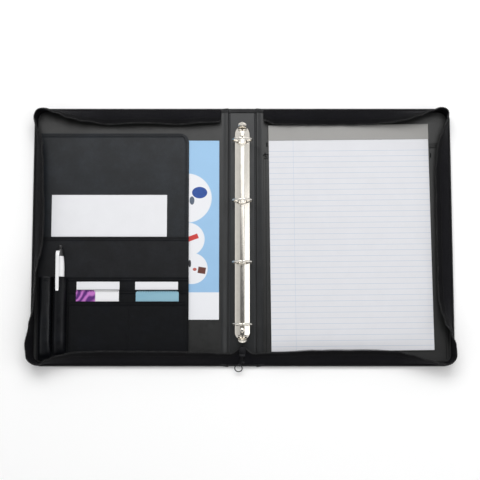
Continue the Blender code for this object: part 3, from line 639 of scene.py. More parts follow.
def cover_skin(name, side, body, stands_for):
    """Leatherette over the board: flat outside, round at the edge and turned in over the lining."""
    rings = []
    for inset, z in SECTION:
        ring = []
        for x, y in edge_outline(inset, COVER_START, side):
            soft = ease((abs(x) - COVER_START) / 10.0)
            swell = 0.12 * wave(x, y, 3.0, 0.035) * soft * (0.0 < z)
            ring.append(Vector((x, y, z + swell * (z > 3.0))))
        rings.append(ring)
    verts, faces = sweep(rings, caps=False, wrap=False)
    count = len(rings[0])
    faces.append(tuple(range(count)))
    inner = len(verts)
    verts += [Vector((p.x, p.y, FLAT_FLOOR)) for p in rings[-1]]
    faces += quads(2, count, start=inner - count)
    faces.append(tuple(range(inner, inner + count)))
    starts = [count * k for k in range(len(rings) + 1)]
    faces.append(tuple(starts + [k + count - 1 for k in reversed(starts)]))
    return piece(name, verts, faces, SKIN_LOOK, body, "leatherette", stands_for)


def band_columns():
    """Places across half of the spine and one gutter, from the middle of the spine outwards."""
    width = COVER_START - SPINE_HALF
    spine = [0.0, 4.0, 8.0, 12.0, 14.5, 15.4, 15.9, 16.5, 17.1]
    return spine + [SPINE_HALF + width * k / 24 for k in range(25)]


def spine_skin(name, side):
    """The skin from the middle of the spine out over one gutter."""
    sections = []
    for x in band_columns():
        low = gutter(x)
        line = []
        for inset, z in SECTION[1:]:
            squeezed = z * (1 - 0.62 * low) + 0.45 * low * (z > 1)
            bulge = 0.9 * low * ease(z / 2.0)
            line.append(Vector((side * x, -HALF_LENGTH + inset - bulge, squeezed)))
        line.append(Vector((side * x, -HALF_LENGTH + TURN_IN, FLAT_FLOOR)))
        back = [Vector((p.x, -p.y, p.z)) for p in reversed(line)]
        sections.append(line + back)
    verts, faces = sweep(sections, caps=True, wrap=True)
    made = piece(name, verts, faces, SKIN_LOOK, None, "leatherette", ("spine_skin",), 50)
    bend_over_gutter(made)


def lining_height(x, y):
    """Top of the lining: slightly uneven on the covers, pressed down into the gutters."""
    soft = ease((abs(x) - COVER_START) / 14.0)
    rise = 0.22 * wave(x, y, 1.0, 0.02) * soft
    seam = 0.6 * max(0.0, 1 - abs(abs(x) - SPINE_SEAM_X) / 1.2) ** 2
    return LINING_HIGH.z + rise - 1.8 * gutter(x) - seam


LINING_T = 0.5


EDGE_GAP = 1.4  # from a cover's edge to the lining under its turned-in edge


def lining_band(name, side):
    """Lining from the middle of the spine out over one gutter, pressed down into it."""
    rows = []
    for y in spaced(-HALF_LENGTH + EDGE_GAP, HALF_LENGTH - EDGE_GAP, 7.0):
        rows.append([Vector((side * x, y, lining_height(x, y) - LINING_T / 2)) for x in band_columns()])
    verts, faces = thick(rows, LINING_T)
    made = piece(name, verts, faces, SPINE_LOOK, None, "lining", ("spine_lining",), 50)
    bend_over_gutter(made)


def cover_lining(name, side, body, node):
    high, far = HALF_LENGTH - EDGE_GAP, OUTER_X - EDGE_GAP
    radius = CORNER_RADIUS - EDGE_GAP
    rows = []
    for y in spaced(-high, high, 6.0):
        bend = max(0.0, abs(y) - (high - radius))
        end = far - radius + math.sqrt(max(0.0, radius ** 2 - bend ** 2))
        line = []
        for x in spaced(COVER_START, far, 6.0):
            px = COVER_START + (end - COVER_START) * (x - COVER_START) / (far - COVER_START)
            line.append(Vector((side * px, y, lining_height(px, y) - LINING_T / 2)))
        rows.append(line)
    verts, faces = thick(rows, LINING_T)
    return piece(name, verts, faces, LINING_LOOK, body, "lining", (node,), 50)


def edge_stitches(name, side, body, inset, z):
    path = [Vector((x, y, z)) for x, y in edge_outline(inset, COVER_START + 2, side)]
    return stitch_row(name, path, body, THREAD_LOOK)


def covers():
    for side, word, body in ((FRONT, "front", "front_cover"), (BACK, "back", "back_cover")):
        cover_skin(f"{word}_skin", side, body, (f"{word}_cover_skin",))
        cover_lining(f"{word}_lining", side, body, f"{word}_cover_lining")
        spine_skin(f"spine_skin_{word}", side)
        lining_band(f"spine_lining_{word}", side)
        edge_stitches(f"{word}_edge_stitches", side, body, 1.9, 4.72)
        edge_stitches(f"{word}_outside_stitches", side, body, 4.2, -0.02)
        ends = (-HALF_LENGTH + 8, HALF_LENGTH - 7)
        line = [Vector((side * SPINE_SEAM_X, y, LINING_HIGH.z - 0.3)) for y in ends]
        stitch_row(f"spine_stitches_{word}", line, "spine", SEAM_LOOK, "lining", 3.0, 1.9, 0.45)
        line = [Vector((side * SPINE_SEAM_X, y, -0.02)) for y in (-HALF_LENGTH + 4, HALF_LENGTH - 4)]
        stitch_row(f"spine_outside_stitches_{word}", line, "spine", THREAD_LOOK)
        repaint(f"{word}_cover_board", BOARD_LOOK)
    for end in (-1, 1):
        line = [Vector((x, end * (HALF_LENGTH - 1.9), 4.72)) for x in (-15.0, 15.0)]
        stitch_row(f"spine_end_stitches_{'foot' if end < 0 else 'head'}", line, "spine", THREAD_LOOK)
    repaint("spine_board", BOARD_LOOK)


def repaint(node, look):
    """A carried-over CAD node gets a finished material."""
    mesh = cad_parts[node].data
    mesh.materials.clear()
    mesh.materials.append(look)


# ---------------------------------------------------------------- gussets and zip

GUSSET_INSET = 3.5
GUSSET_FOOT_Z = 4.75
GUSSET_WIDTHS = (17.2, 20.0)  # standing up at a corner, leaning in elsewhere
GUSSET_T = 0.75
GUSSET_START = 28.0
# (distance along the edge from the head-side gutter, how far the free edge leans in)
FRONT_LEAN = [
    (0, 15.7), (25, 17), (55, 19), (105, 17.5), (150, 18.8), (180, 16), (200, 12.2), (215, 6.3), (232, 0.5),
    (241, -0.5), (250, 0), (262, 3), (274, 8.5), (287, 11), (325, 12.5), (385, 14), (412, 13.5), (428, 11.5),
    (442, 8), (458, 5.5), (480, 4.8), (500, 3.5), (522, -1.5), (546, -6), (559, -4.5), (577, -1), (587, 5),
    (599, 10), (622, 14), (657, 15.5), (737, 15), (787, 14), (809, 13),
]
BACK_LEAN = [
    (0, 14), (15, 18.5), (60, 19.3), (110, 19.3), (140, 18.8), (165, 17.4), (185, 14.8), (203, 10),
    (220, 3.8),
    (232, -0.5), (241, -1), (250, 3), (267, 9.5), (281, 14.5), (295, 16.5), (321, 18.3), (462, 18.2),
    (486, 17.9), (501, 15.7), (517, 11.7), (532, 4.5), (547, -0.8), (561, -1.5), (577, -0.5), (583, 0.5),
    (601, 5.4), (621, 11.3), (640, 15.5), (680, 17), (740, 16.5), (795, 14), (809, 13),
]


def along(keys, s):
    """A smooth curve through (distance, value) keys."""
    for (s0, v0), (s1, v1) in zip(keys, keys[1:]):
        if s <= s1:
            return v0 + (v1 - v0) * ease((s - s0) / (s1 - s0))
    return keys[-1][1]


def edge_spot(side, s):
    """Place on the gusset's foot line and the inward direction there, at a distance from the head gutter."""
    far, top = OUTER_X - GUSSET_INSET, HALF_LENGTH - GUSSET_INSET
    radius = CORNER_RADIUS - GUSSET_INSET
    run, drop, bend = far - radius - GUSSET_START, 2 * (top - radius), radius * math.pi / 2
    if s <= run:
        place, inward = (GUSSET_START + s, top), (0, -1)
    elif s <= run + bend:
        turn = (s - run) / radius
        place = (far - radius + radius * math.sin(turn), top - radius + radius * math.cos(turn))
        inward = (-math.sin(turn), -math.cos(turn))
    elif s <= run + bend + drop:
        place, inward = (far, top - radius - (s - run - bend)), (-1, 0)
    elif s <= run + 2 * bend + drop:
        turn = (s - run - bend - drop) / radius
        place = (far - radius + radius * math.cos(turn), -top + radius - radius * math.sin(turn))
        inward = (-math.cos(turn), math.sin(turn))
    else:
        place, inward = (far - radius - (s - run - 2 * bend - drop), -top), (0, 1)
    return Vector((side * place[0], place[1], 0)), Vector((side * inward[0], inward[1], 0))


def edge_length():
    far, top = OUTER_X - GUSSET_INSET, HALF_LENGTH - GUSSET_INSET
    radius = CORNER_RADIUS - GUSSET_INSET
    return 2 * (far - radius - GUSSET_START) + 2 * (top - radius) + radius * math.pi


def gusset_sections(side, keys):
    """Lines across the gusset from its foot to its free edge, (line, outward direction) every few
    millimetres.
    """
    total = edge_length()
    count = round(total / 2.6)
    sections = []
    for i in range(count + 1):
        s = total * i / count
        place, inward = edge_spot(side, s)
        lean = along(keys, s)
        width = GUSSET_WIDTHS[0] + (GUSSET_WIDTHS[1] - GUSSET_WIDTHS[0]) * ease(lean / 14.0)
        rise = math.sqrt(width * width - lean * lean)
        rise *= 0.6 + 0.4 * ease(min(s, total - s) / 40.0)
        tuck = ease((s + 1.5) / 5.0)  # the end at the head gutter is folded down
        rise *= 0.35 + 0.65 * tuck
        lean *= 0.86 + 0.14 * tuck
        free = ease(min(s, 30.0) / 30.0)
        lean += (0.45 * wave(s, 0, side * 5.0, 0.055) + 0.25 * wave(s, 9, side * 7.0, 0.16)) * free
        rise += 0.5 * wave(s, 4, side * 11.0, 0.07) * free
        foot = place + Vector((0, 0, GUSSET_FOOT_Z))
        edge = foot + inward * lean + UP * (rise + 0.5)
        out = (UP * lean - inward * rise).normalized()
        line = []
        for k in range(10):
            t = k / 9
            belly = math.sin(math.pi * t) * (1.1 + 0.9 * wave(s, 20 * t, side * 2.0, 0.045))
            crease = 0.35 * wave(s, 60 * t, side * 3.0, 0.12) * math.sin(math.pi * min(1, t * 1.3))
            line.append(foot.lerp(edge, t) + out * (belly + crease))
        sections.append((line, out))
    return sections


# (foot x, foot y, free edge x, y, z, sag): the gusset from a cover's gutter across the spine to the slider
FOOT_FOLD = [
    (25.0, -166.3, 24.0, -153.2, 11.4, 0.9), (22.6, -166.5, 19.5, -153.8, 10.6, 0.6),
    (20.2, -166.6, 15.0, -153.9, 10.1, 0.5), (18.0, -166.7, 10.8, -152.2, 9.7, 0.8),
    (16.0, -166.7, 7.4, -149.4, 9.2, 1.2), (14.0, -166.7, 4.6, -146.6, 8.6, 1.3),
    (12.2, -166.7, 2.6, -144.9, 8.0, 1.2), (10.6, -166.7, 1.4, -145.6, 7.8, 1.3),
    (9.0, -166.7, 1.15, -149.5, 7.8, 1.3), (7.6, -166.7, 1.1, -154.0, 7.8, 1.3),
    (6.2, -166.7, 1.1, -158.5, 7.8, 1.3), (4.6, -166.7, 1.1, -162.5, 7.7, 1.2),
    (2.6, -166.8, 1.0, -164.8, 6.6, 0.6),
]


def foot_sections(side):
    """Finer lines between the rows of FOOT_FOLD."""
    feet = smooth_curve([(side * r[0], r[1], GUSSET_FOOT_Z) for r in FOOT_FOLD], 3)
    edges = smooth_curve([(side * r[2], r[3], r[4]) for r in FOOT_FOLD], 3)
    sags = smooth_curve([(r[5], 0, 0) for r in FOOT_FOLD], 3)
    sections = []
    for i, (foot, edge, sag) in enumerate(zip(feet, edges, sags)):
        line = []
        for k in range(10):
            t = k / 9
            crease = 0.35 * wave(i * 9, 40 * t, side * 4.0, 0.09) + sag.x
            line.append(foot.lerp(edge, t) + UP * math.sin(math.pi * t) * crease)
        sections.append((line, UP))
    return sections


def coil(path, pitch=1.9, across=1.15, high=0.75, wire=0.36, sides=5, per_turn=8):
    """The zip's spiral of teeth along a path of (point, tape direction) pairs."""
    points = [p for p, _ in path]
    ways = [w for _, w in path]
    lengths = [0.0]
    for a, b in zip(points, points[1:]):
        lengths.append(lengths[-1] + (b - a).length)
    turns = int(lengths[-1] / pitch)
    spiral, seg = [], 0
    for k in range(turns * per_turn):
        s = lengths[-1] * k / (turns * per_turn)
        while seg < len(points) - 2 and lengths[seg + 1] < s:
            seg += 1
        t = (s - lengths[seg]) / max(1e-9, lengths[seg + 1] - lengths[seg])
        centre = points[seg].lerp(points[seg + 1], t)
        tape = ways[seg].lerp(ways[seg + 1], t).normalized()
        tangent = (points[seg + 1] - points[seg]).normalized()
        out = tangent.cross(tape).normalized()
        a = 2 * math.pi * k / per_turn
        spiral.append(centre + tape * across * math.cos(a) + out * high * math.sin(a))
    return tube(spiral, wire, sides)


def gusset_side(word, side, keys):
    """One cover's gusset from the head gutter round to the slider: cloth, zip tape, coil and stitches."""
    lines = gusset_sections(side, keys) + foot_sections(side)
    stands_for = (f"{word}_gusset", "spine_gusset")
    sheet = thick([line for line, _ in lines], GUSSET_T)
    made = [piece(f"{word}_gusset_cloth", *sheet, GUSSET_LOOK, None, "gusset", stands_for, 60)]
    hem, seam, teeth = [], [], []
    for line, out in lines:
        way = (line[-1] - line[-2]).normalized()
        a, b = line[6], line[9]
        across = (0.0, 0.12, 0.5, 0.88, 1.0)
        hem.append([a.lerp(b, t) + out * (0.42 + 0.25 * math.sin(math.pi * t)) for t in across])
        seam.append(a.lerp(b, 0.22) + out * 1.0)
        teeth.append((line[9] + way * 0.5, way))
    made.append(piece(f"{word}_zip_tape", *thick(hem, 0.5), TAPE_LOOK, None, "gusset", (), 60))
    stands_for = (f"{word}_zip_chain", "zip_joined_end")
    made.append(piece(f"{word}_zip_coil", *coil(teeth), COIL_LOOK, None, "zip", stands_for, 60))
    thread = [capsule(centre, way, 2.1, 0.22) for centre, way, _ in evenly(seam, 2.9, 1.5)]
    stitches = joined(thread)
    made.append(piece(f"{word}_tape_stitches", *stitches, THREAD_LOOK, None, "gusset", (), 60))
    for part in made:
        bend_over_gutter(part)


def foot_flange(word, side, body):
    """The gusset's seam allowance, lying on the cover's turned edge inside the foot line."""
    total = edge_length()
    rows = []
    for i in range(260):
        place, inward = edge_spot(side, total * i / 259)
        base = place + UP * 4.9
        rows.append([base + inward * k for k in (-1.0, -0.4, 0.6, 1.6)])
    return piece(f"{word}_gusset_seam", *thick(rows, 0.4), TAPE_LOOK, body, "gusset", (), 60)


def gussets():
    for word, side, keys in (("front", FRONT, FRONT_LEAN), ("back", BACK, BACK_LEAN)):
        gusset_side(word, side, keys)
        foot_flange(word, side, f"{word}_cover")


# ---------------------------------------------------------------- pockets

POCKET_LEFT, POCKET_RIGHT = span("document_pocket")[0].x, span("document_pocket")[1].x
DOCUMENT_TOP = span("document_pocket")[1].y
ENVELOPE_TOP = span("envelope_pocket")[1].y
ORGANISER_TOP = span("organiser_panel")[1].y
PANEL_T = 0.6
SLEEVE_SEAM_X = -225.8
COLUMN_SEAM_X = -147.3
ORGANISER_DROP = 0.40  # leaves the cards room above its hem


def level(node):
    """Middle height of a flat CAD sheet."""
    low, high = span(node)
    return (low.z + high.z) / 2


def uneven(base, amount, seed, rate):
    """A height function: level but for a slight unevenness."""
    return lambda x, y: base + amount * wave(x, y, seed, rate)


def bulged(base, top, seed, amount):
    """A height function: flat at the foot, a little fuller and uneven towards the open edge."""
    def height(x, y):
        share = ease((y + 160.0) / (top + 160.0))
        inside = ease((x - POCKET_LEFT) / 25.0) * ease((POCKET_RIGHT - x) / 18.0)
        swell = amount * share * (0.6 + 0.4 * wave(x, y, seed, 0.02))
        return base + (swell + 0.10 * wave(x, y, seed + 4, 0.05)) * inside
    return height


def panel_stitches(name, ends, z, body="front_cover", slot="pocket", pitch=STITCH_PITCH):
    """Stitch rows along straight lines. Ends are ((x, y), (x, y)) pairs, z a height or height function."""
    parts = []
    for a, b in ends:
        count = max(2, int((Vector(b) - Vector(a)).length / 6))
        path = []
        for k in range(count + 1):
            p = Vector(a).lerp(Vector(b), k / count)
            path.append(Vector((p.x, p.y, z(p.x, p.y) if callable(z) else z)))
        for centre, way, _ in evenly(path, pitch, pitch / 2):
            parts.append(capsule(centre, way, STITCH_LENGTH, STITCH_R))
    return piece(name, *joined(parts), THREAD_LOOK, body, slot, (), 60)


def bar_tack(centre, way, length=5.5, count=9):
    """A short dense row of cross stitches at the end of an opening."""
    way = Vector(way).normalized()
    across = Vector((-way.y, way.x, 0))
    spots = [Vector(centre) + way * length * (k / (count - 1) - 0.5) for k in range(count)]
    return [capsule(spot, across, 1.7, 0.26) for spot in spots]


HEM_STITCH = 2.6  # from an open edge down to its stitches


def raised(height, amount):
    """A height function lifted by an amount."""
    return lambda x, y: height(x, y) + amount


def pocket_panels():
    body, slot = "front_cover", "pocket"
    on_hem = PANEL_T / 2 + HEM_RISE
    document = bulged(level("document_pocket"), DOCUMENT_TOP, 1.0, 0.25)
    grid = panel_grid(POCKET_LEFT, POCKET_RIGHT, -162.5, DOCUMENT_TOP, document, 6.0, 12.0, 7.0, "tr")
    panel("document_panel", POCKET_LOOK, body, slot, ("document_pocket",), grid)
    turn = []
    for degrees in range(0, 91, 15):
        a = math.radians(degrees)
        turn.append((-84.0 + 10.4 * math.sin(a), DOCUMENT_TOP - 13.0 + 10.4 * math.cos(a)))
    path = [(POCKET_LEFT + 2, DOCUMENT_TOP - HEM_STITCH)] + turn + [(POCKET_RIGHT - 3.3, ENVELOPE_TOP + 2)]
    panel_stitches("document_stitches", list(zip(path, path[1:])), raised(document, on_hem))

    envelope = bulged(level("envelope_pocket"), ENVELOPE_TOP, 2.0, 0.22)
    grid = panel_grid(POCKET_LEFT, POCKET_RIGHT + 0.2, -161.0, ENVELOPE_TOP, envelope, 6.0, hems="t")
    panel("envelope_panel", HALF_SHADED_POCKET_LOOK, body, slot, ("envelope_pocket",), grid)
    line = ENVELOPE_TOP - HEM_STITCH
    ends = (POCKET_LEFT + 2, line), (POCKET_RIGHT - 1, line)
    panel_stitches("envelope_stitches", [ends], raised(envelope, on_hem))

    organiser = bulged(level("organiser_panel") - ORGANISER_DROP, ORGANISER_TOP, 3.0, 0.0)
    grid = panel_grid(POCKET_LEFT + 1.5, POCKET_RIGHT + 0.4, -160.0, ORGANISER_TOP, organiser, 6.0, hems="t")
    panel("organiser_sheet", SHADED_POCKET_LOOK, body, slot, ("organiser_panel",), grid)
    line = ORGANISER_TOP - HEM_STITCH
    ends = (SLEEVE_SEAM_X + 2, line), (POCKET_RIGHT - 1, line)
    panel_stitches("organiser_stitches", [ends], raised(organiser, on_hem - 0.42))

    for word, seed in (("upper", 6.0), ("lower", 8.0)):
        low, high = span(f"card_slot_{word}")
        base = level(f"card_slot_{word}")
        grid = panel_grid(low.x, high.x, low.y, high.y, uneven(base, 0.08, seed, 0.05), 6.0, hems="t")
        panel(f"card_panel_{word}", SHADED_POCKET_LOOK, body, slot, (f"card_slot_{word}",), grid, 0.45)
        line = high.y - 2.4
        ends = (low.x + 1.5, line), (high.x - 1.5, line)
        panel_stitches(f"card_panel_{word}_stitches", [ends], base + 0.25 + HEM_RISE)
    columns = (COLUMN_SEAM_X, SLEEVE_SEAM_X + 3.6, POCKET_RIGHT - 3.6)
    seams = [((x, -88.0), (x, -156.0)) for x in columns]
    panel_stitches("column_stitches", seams, level("card_slot_lower") + 0.28)


SLEEVE_TAIL = 11.0  # sewn flat beyond the pen's tip


def sleeve(node, look):
    """A tube of leatherette sewn down along both sides, hemmed at its mouth and flattened at its foot."""
    low, high = span(node)
    middle, half = (low.x + high.x) / 2, (high.x - low.x) / 2
    base = low.z
    rows = []
    seed = abs(middle) * 0.1
    for y in spaced(low.y - SLEEVE_TAIL, high.y, 4.0):
        full = 0.70 + 0.30 * ease((y - low.y) / 11.0) - 0.50 * ease((low.y - y) / SLEEVE_TAIL)
        dent = 0.05 * wave(0, y, seed, 0.045)
        top = (high.z - 0.3 - base) * (full + dent * ease((high.y - y) / 12.0))
        hem = hem_height(high.y - y)
        row = []
        for k in range(25):
            a = math.pi * k / 24
            lean = abs(math.cos(a)) ** 0.75 * math.copysign(1, math.cos(a))
            pinch = 1 - 0.03 * ease((high.y - y) / 40)
            x = middle + (half - 0.35) * lean * pinch
            ripple = 0.28 * wave(k * 4.0, y, seed + 2, 0.075) * math.sin(a)
            z = base + (top + ripple) * math.sin(a) ** 0.8
            out = Vector((math.cos(a), 0, math.sin(a)))
            row.append(Vector((x, y, z)) + out * (hem * 0.6 - 0.2))
        rows.append(row)
    piece(node + "_tube", *thick(rows, 0.6), look, "front_cover", "pocket", (node,), 60)
    thread = []
    arch_row = [Vector((p.x, high.y - 2.5, p.z)) for p in rows[-1]]
    crown = [p + (p - Vector((middle, p.y, base))).normalized() * 0.42 for p in arch_row]
    for centre, way, _ in evenly(crown, STITCH_PITCH * 0.9, 1.2):
        lift = (centre - Vector((middle, centre.y, base))).normalized()
        thread.append(capsule(centre, way, 2.2, STITCH_R, up=lift))
    piece(node + "_stitches", *joined(thread), THREAD_LOOK, "front_cover", "pocket", (), 60)


def sleeves():
    sleeve("pen_sleeve_left", SLEEVE_LOOK)
    sleeve("pen_sleeve_right", SHADED_POCKET_LOOK)
    z = level("organiser_panel") + 0.45
    lines = [((x, ORGANISER_TOP - 1.5), (x, -157.0)) for x in (SLEEVE_SEAM_X, -263.2)]
    panel_stitches("sleeve_seams", lines, z)


def pad_pocket():
    """A slit panel: the pad's backing board slips behind its mouth."""
    low, high = span("pad_pocket")
    left_top = 107.0
    slope = high.y - left_top

    def mouth(x):
        return left_top + slope / (high.x - low.x) * (x - low.x)

    height = uneven(level("pad_pocket"), 0.1, 12.0, 0.03)
    grid = panel_grid(low.x, high.x, low.y, left_top, height, 6.0, hems="t", slope=slope)
    panel("pad_pocket_panel", LINING_LOOK, "back_cover", "lining", ("pad_pocket",), grid)
    z = level("pad_pocket") + PANEL_T / 2 + HEM_RISE
    left, right = mouth(low.x), mouth(high.x)
    lines = [((low.x + 1.5, left - 2.6), (high.x - 1.5, right - 2.7))]
    lines += [((x, top - 4), (x, low.y + 2)) for x, top in ((low.x + 2.6, left), (high.x - 2.6, right))]
    panel_stitches("pad_pocket_stitches", lines, z, "back_cover", "lining")
    # Painted shade: a dark tape laid along the mouth stands for the dark line of shade in the slit.
    binding = [Vector((x, mouth(x) + 0.1, z - 0.1)) for x in (low.x - 1.5, low.x, high.x)]
    piece("pad_pocket_binding", *tube(binding, 0.55, 8, 0.6), TAPE_LOOK, "back_cover", "lining", (), 60)
    tacks = []
    for x, y in ((low.x + 1.6, left), (low.x + 4.0, 121.0), (248.0, 106.5), (high.x - 2.2, right)):
        tacks += bar_tack((x, y, z if y < mouth(x) + 1 else LINING_HIGH.z + 0.3), (0, 1, 0))
    piece("pad_pocket_tacks", *joined(tacks), THREAD_LOOK, "back_cover", "lining", (), 60)


# ---------------------------------------------------------------- what the pockets hold

def loose_sheet(node, look, body, slot, depth, height, corner=0.0, step=6.0):
    """A flat sheet with a gentle curve, square or round at its corners."""
    low, high = span(node)
    rows = []
    for y in spaced(low.y, high.y, step, (0.3, 0.9, 1.8, 3.0)):
        row = []
        tuck = corner - min(corner, y - low.y, high.y - y)
        cut_in = corner - math.sqrt(max(0.0, corner * corner - tuck * tuck))
        for x in spaced(low.x, high.x, step, (0.3, 0.9, 1.8, 3.0)):
            share = (x - low.x) / (high.x - low.x)
            px = low.x + cut_in + (high.x - low.x - 2 * cut_in) * share
            row.append(Vector((px, y, height(px, y))))
        rows.append(row)
    return piece(node + "_sheet", *thick(rows, depth), look, body, slot, (node,), 50)


def purple_card():
    """White card with a plain swirl of purple on its left third."""
    low, high = span("card_lower_left")
    g, surface = paper_base("purple_card_look", (0.78, 0.78, 0.80), 0.45)
    x, y, _ = g.axes()
    values = {"Scale": 38.0, "Distortion": 7.0, "Detail": 2.0, "Detail Scale": 1.2}
    swirl = g.node("ShaderNodeTexWave", {"Vector": g.moved(turn=(0, 0, 0.9)), **values})
    bands = g.mix(g.ranged(swirl.outputs["Fac"], 0.2, 0.9, 0.0, 1.0), (0.10, 0.02, 0.17), (0.50, 0.16, 0.52))
    art = box_mask(g, x, y, low.x - 1, low.x + 25.0, low.y, high.y + 1, 0.6)
    sweep_mask = disc_mask(g, x, y, low.x + 6.0, high.y - 12.0, 24.0, 17.0)
    g.colour(g.mix(g.maths("MULTIPLY", art, sweep_mask), surface, bands))
    return g.material


def teal_card():
    g, surface = paper_base("teal_card_look", (0.225, 0.415, 0.52), 0.4)
    cloud = g.noise(30.0, 2.0, g.moved(scale=(1, 3, 1)))
    g.colour(g.mix(g.ranged(cloud, 0.4, 0.62, 0.0, 0.55), surface, (0.26, 0.45, 0.54)))
    return g.material


# plain discs, the leaflet's white foot and plain shapes, by place and size
DISCS = ((-72.7, 49.8, 32.5), (-71.1, -4.7, 21.8), (-65.4, -42.9, 20.2))
FOOT_BAND = -74.0
SHAPES = (
    (-56.0, 57.0, 10.0, 7.6, (0.025, 0.075, 0.30)), (-66.0, 46.5, 3.2, 5.5, (0.10, 0.13, 0.18)),
    (-68.5, -36.5, 1.7, 5.0, (0.03, 0.03, 0.035)), (-62.0, -44.0, 2.6, 2.0, (0.45, 0.12, 0.1)),
)


def turned_axes(g, cx, cy, turn):
    """X and Y measured from a place, in axes turned about Z."""
    moved = g.moved(shift=(-cx * MM, -cy * MM, 0.0))
    return g.axes(g.moved(turn=(0, 0, turn), source=moved))[:2]


def leaflet_look():
    """Light blue leaflet: three overlapping white discs with plain shapes in them, and a white foot."""
    low, high = span("leaflet")
    g, surface = paper_base("leaflet_look", (0.30, 0.50, 0.73), 0.4)
    x, y, _ = g.axes()
    fade = g.ranged(y, low.y * MM, high.y * MM, 0.0, 0.35)
    tint = g.mix(fade, surface, (0.36, 0.58, 0.80))
    white = (0.78, 0.79, 0.82)
    discs = None
    for cx, cy, r in DISCS:
        mask = disc_mask(g, x, y, cx, cy, r)
        discs = mask if discs is None else g.maths("MAXIMUM", discs, mask)
    foot = g.ranged(y, (FOOT_BAND - 0.2) * MM, (FOOT_BAND + 0.2) * MM, 1.0, 0.0)
    tint = g.mix(g.maths("MAXIMUM", discs, foot), tint, white)
    for cx, cy, rx, ry, colour in SHAPES:
        grain = g.ranged(g.noise(500.0, 2.0), 0.3, 0.7, 0.0, 1.0)
        ink = g.mix(grain, tone(colour, 0.8), tone(colour, 1.2))
        tint = g.mix(disc_mask(g, x, y, cx, cy, rx, ry), tint, ink)
    wedge = box_mask(g, *turned_axes(g, -64.5, -2.4, -0.35), -7.5, 7.0, -3.2, 3.2, 0.3)
    tint = g.mix(wedge, tint, (0.55, 0.05, 0.045))
    block = box_mask(g, *turned_axes(g, -52.8, -45.3, 0.15), -5.0, 5.0, -4.2, 4.2, 0.2)
    tint = g.mix(block, tint, (0.13, 0.045, 0.035))
    g.colour(tint)
    return g.material


def contents():
    height = uneven(level("envelope"), 0.05, 20.0, 0.03)
    loose_sheet("envelope", ENVELOPE_LOOK, "loose_envelope", "envelope", 0.35, height)
    height = uneven(level("leaflet") + 0.25, 0.12, 22.0, 0.02)
    loose_sheet("leaflet", leaflet_look(), "loose_leaflet", "leaflet", 0.2, height)
    cards = (
        ("upper_left", WHITE_CARD_LOOK, "card_white"), ("upper_right", WHITE_CARD_LOOK, "card_white"),
        ("lower_left", purple_card(), "card_purple"), ("lower_right", teal_card(), "card_teal"),
    )
    for word, look, slot in cards:
        corner = 2.6 if word == "lower_right" else 0.5
        height = uneven(level(f"card_{word}"), 0.05, 25.0, 0.03)
        loose_sheet(f"card_{word}", look, f"{word}_card", slot, 0.28, height, corner)


# ---------------------------------------------------------------- writing pad

PAD_HALF = (105.0, 148.5)
PAD_TURN = math.radians(0.6)
PAD_MIDDLE = (141.2, -1.2)


def pad_place(x, y, z):
    """A point of the pad in its own axes, put where the pad lies."""
    c, s = math.cos(PAD_TURN), math.sin(PAD_TURN)
    return Vector((PAD_MIDDLE[0] + x * c - y * s, PAD_MIDDLE[1] + x * s + y * c, z))


def slab(left, right, low, high, bottom, top, lift=None, step=12.0):
    """A closed slab in the pad's axes with a slightly rounded edge; lift(x, y) raises it."""
    rows = []
    for y in spaced(low, high, step, (0.4, 1.2, 3.0)):
        rows.append([Vector((x, y, (bottom + top) / 2 + (lift(x, y) if lift else 0.0)))
                     for x in spaced(left, right, step, (0.4, 1.2, 3.0))])
    verts, faces = thick(rows, top - bottom)
    return [pad_place(*v) for v in verts], faces


def corner_curl(x, y):
    """The used corner at the foot of the pad stands up a little."""
    away = (PAD_HALF[0] - x) + (y + PAD_HALF[1])
    return 0.7 * max(0.0, 1 - away / 70.0) ** 2


def curled(share):
    """Lift of one layer of the sheets, the whole curl for the topmost."""
    return lambda x, y: corner_curl(x, y) * share ** 2


# (distance in from the pad's head, height) round the section of the binding strip
STRIP_SECTION = [
    (STRIP_WIDTH, 7.98), (STRIP_WIDTH - 0.1, 8.14), (6.0, 8.14), (1.6, 8.08), (0.6, 7.8), (0.1, 7.2),
    (0.0, 6.2), (0.0, 4.1), (0.3, 4.0), (0.42, 4.2), (0.42, 6.2), (0.7, 7.1), (1.4, 7.72), (3.0, 7.86),
    (STRIP_WIDTH - 0.1, 7.86),
]
PAD_LAYERS = 8


def writing_pad():
    half_x, half_y = PAD_HALF
    place = (PAD_MIDDLE, PAD_TURN, half_x, half_y)
    look = ruled_paper("ruled_paper_look", (0.69, 0.695, 0.725), (0.42, 0.50, 0.62), place)
    low, high = span("pad_sheets")
    parts = []
    for k in range(PAD_LAYERS):
        bottom = low.z + (high.z - low.z) * k / PAD_LAYERS
        top = low.z + (high.z - low.z) * (k + 0.92) / PAD_LAYERS
        aside, along_it = 0.16 * math.sin(k * 2.3), 0.14 * math.cos(k * 1.7)
        ends = -half_x + 0.2 + aside, half_x - 0.2 + aside, -half_y + 0.2 + along_it, half_y - 0.8
        parts.append(slab(*ends, bottom, top, curled(k / (PAD_LAYERS - 1))))
    piece("pad_pages", *joined(parts), look, "pad", "paper", ("pad_sheets",), 40)
    low, high = span("pad_backing")
    board = slab(-half_x, half_x, -half_y + 2, half_y - 0.7, low.z, high.z)
    piece("pad_board", *board, BOARD_LOOK, "pad", "board", ("pad_backing",), 40)
    sections = []
    for x in spaced(-half_x - 0.15, half_x + 0.15, 8.0, (0.3, 1.0)):
        section = []
        for distance_in, z in STRIP_SECTION:
            y = half_y - distance_in
            lift = 0.03 * wave(x, y, 30.0, 0.1)
            section.append(pad_place(x, y + 0.1 * wave(x, 0, 31.0, 0.05), z + lift))
        sections.append(section)
    piece("pad_strip", *sweep(sections), STRIP_LOOK, "pad", "binding", ("pad_binding",), 40)


# ---------------------------------------------------------------- ring mechanism

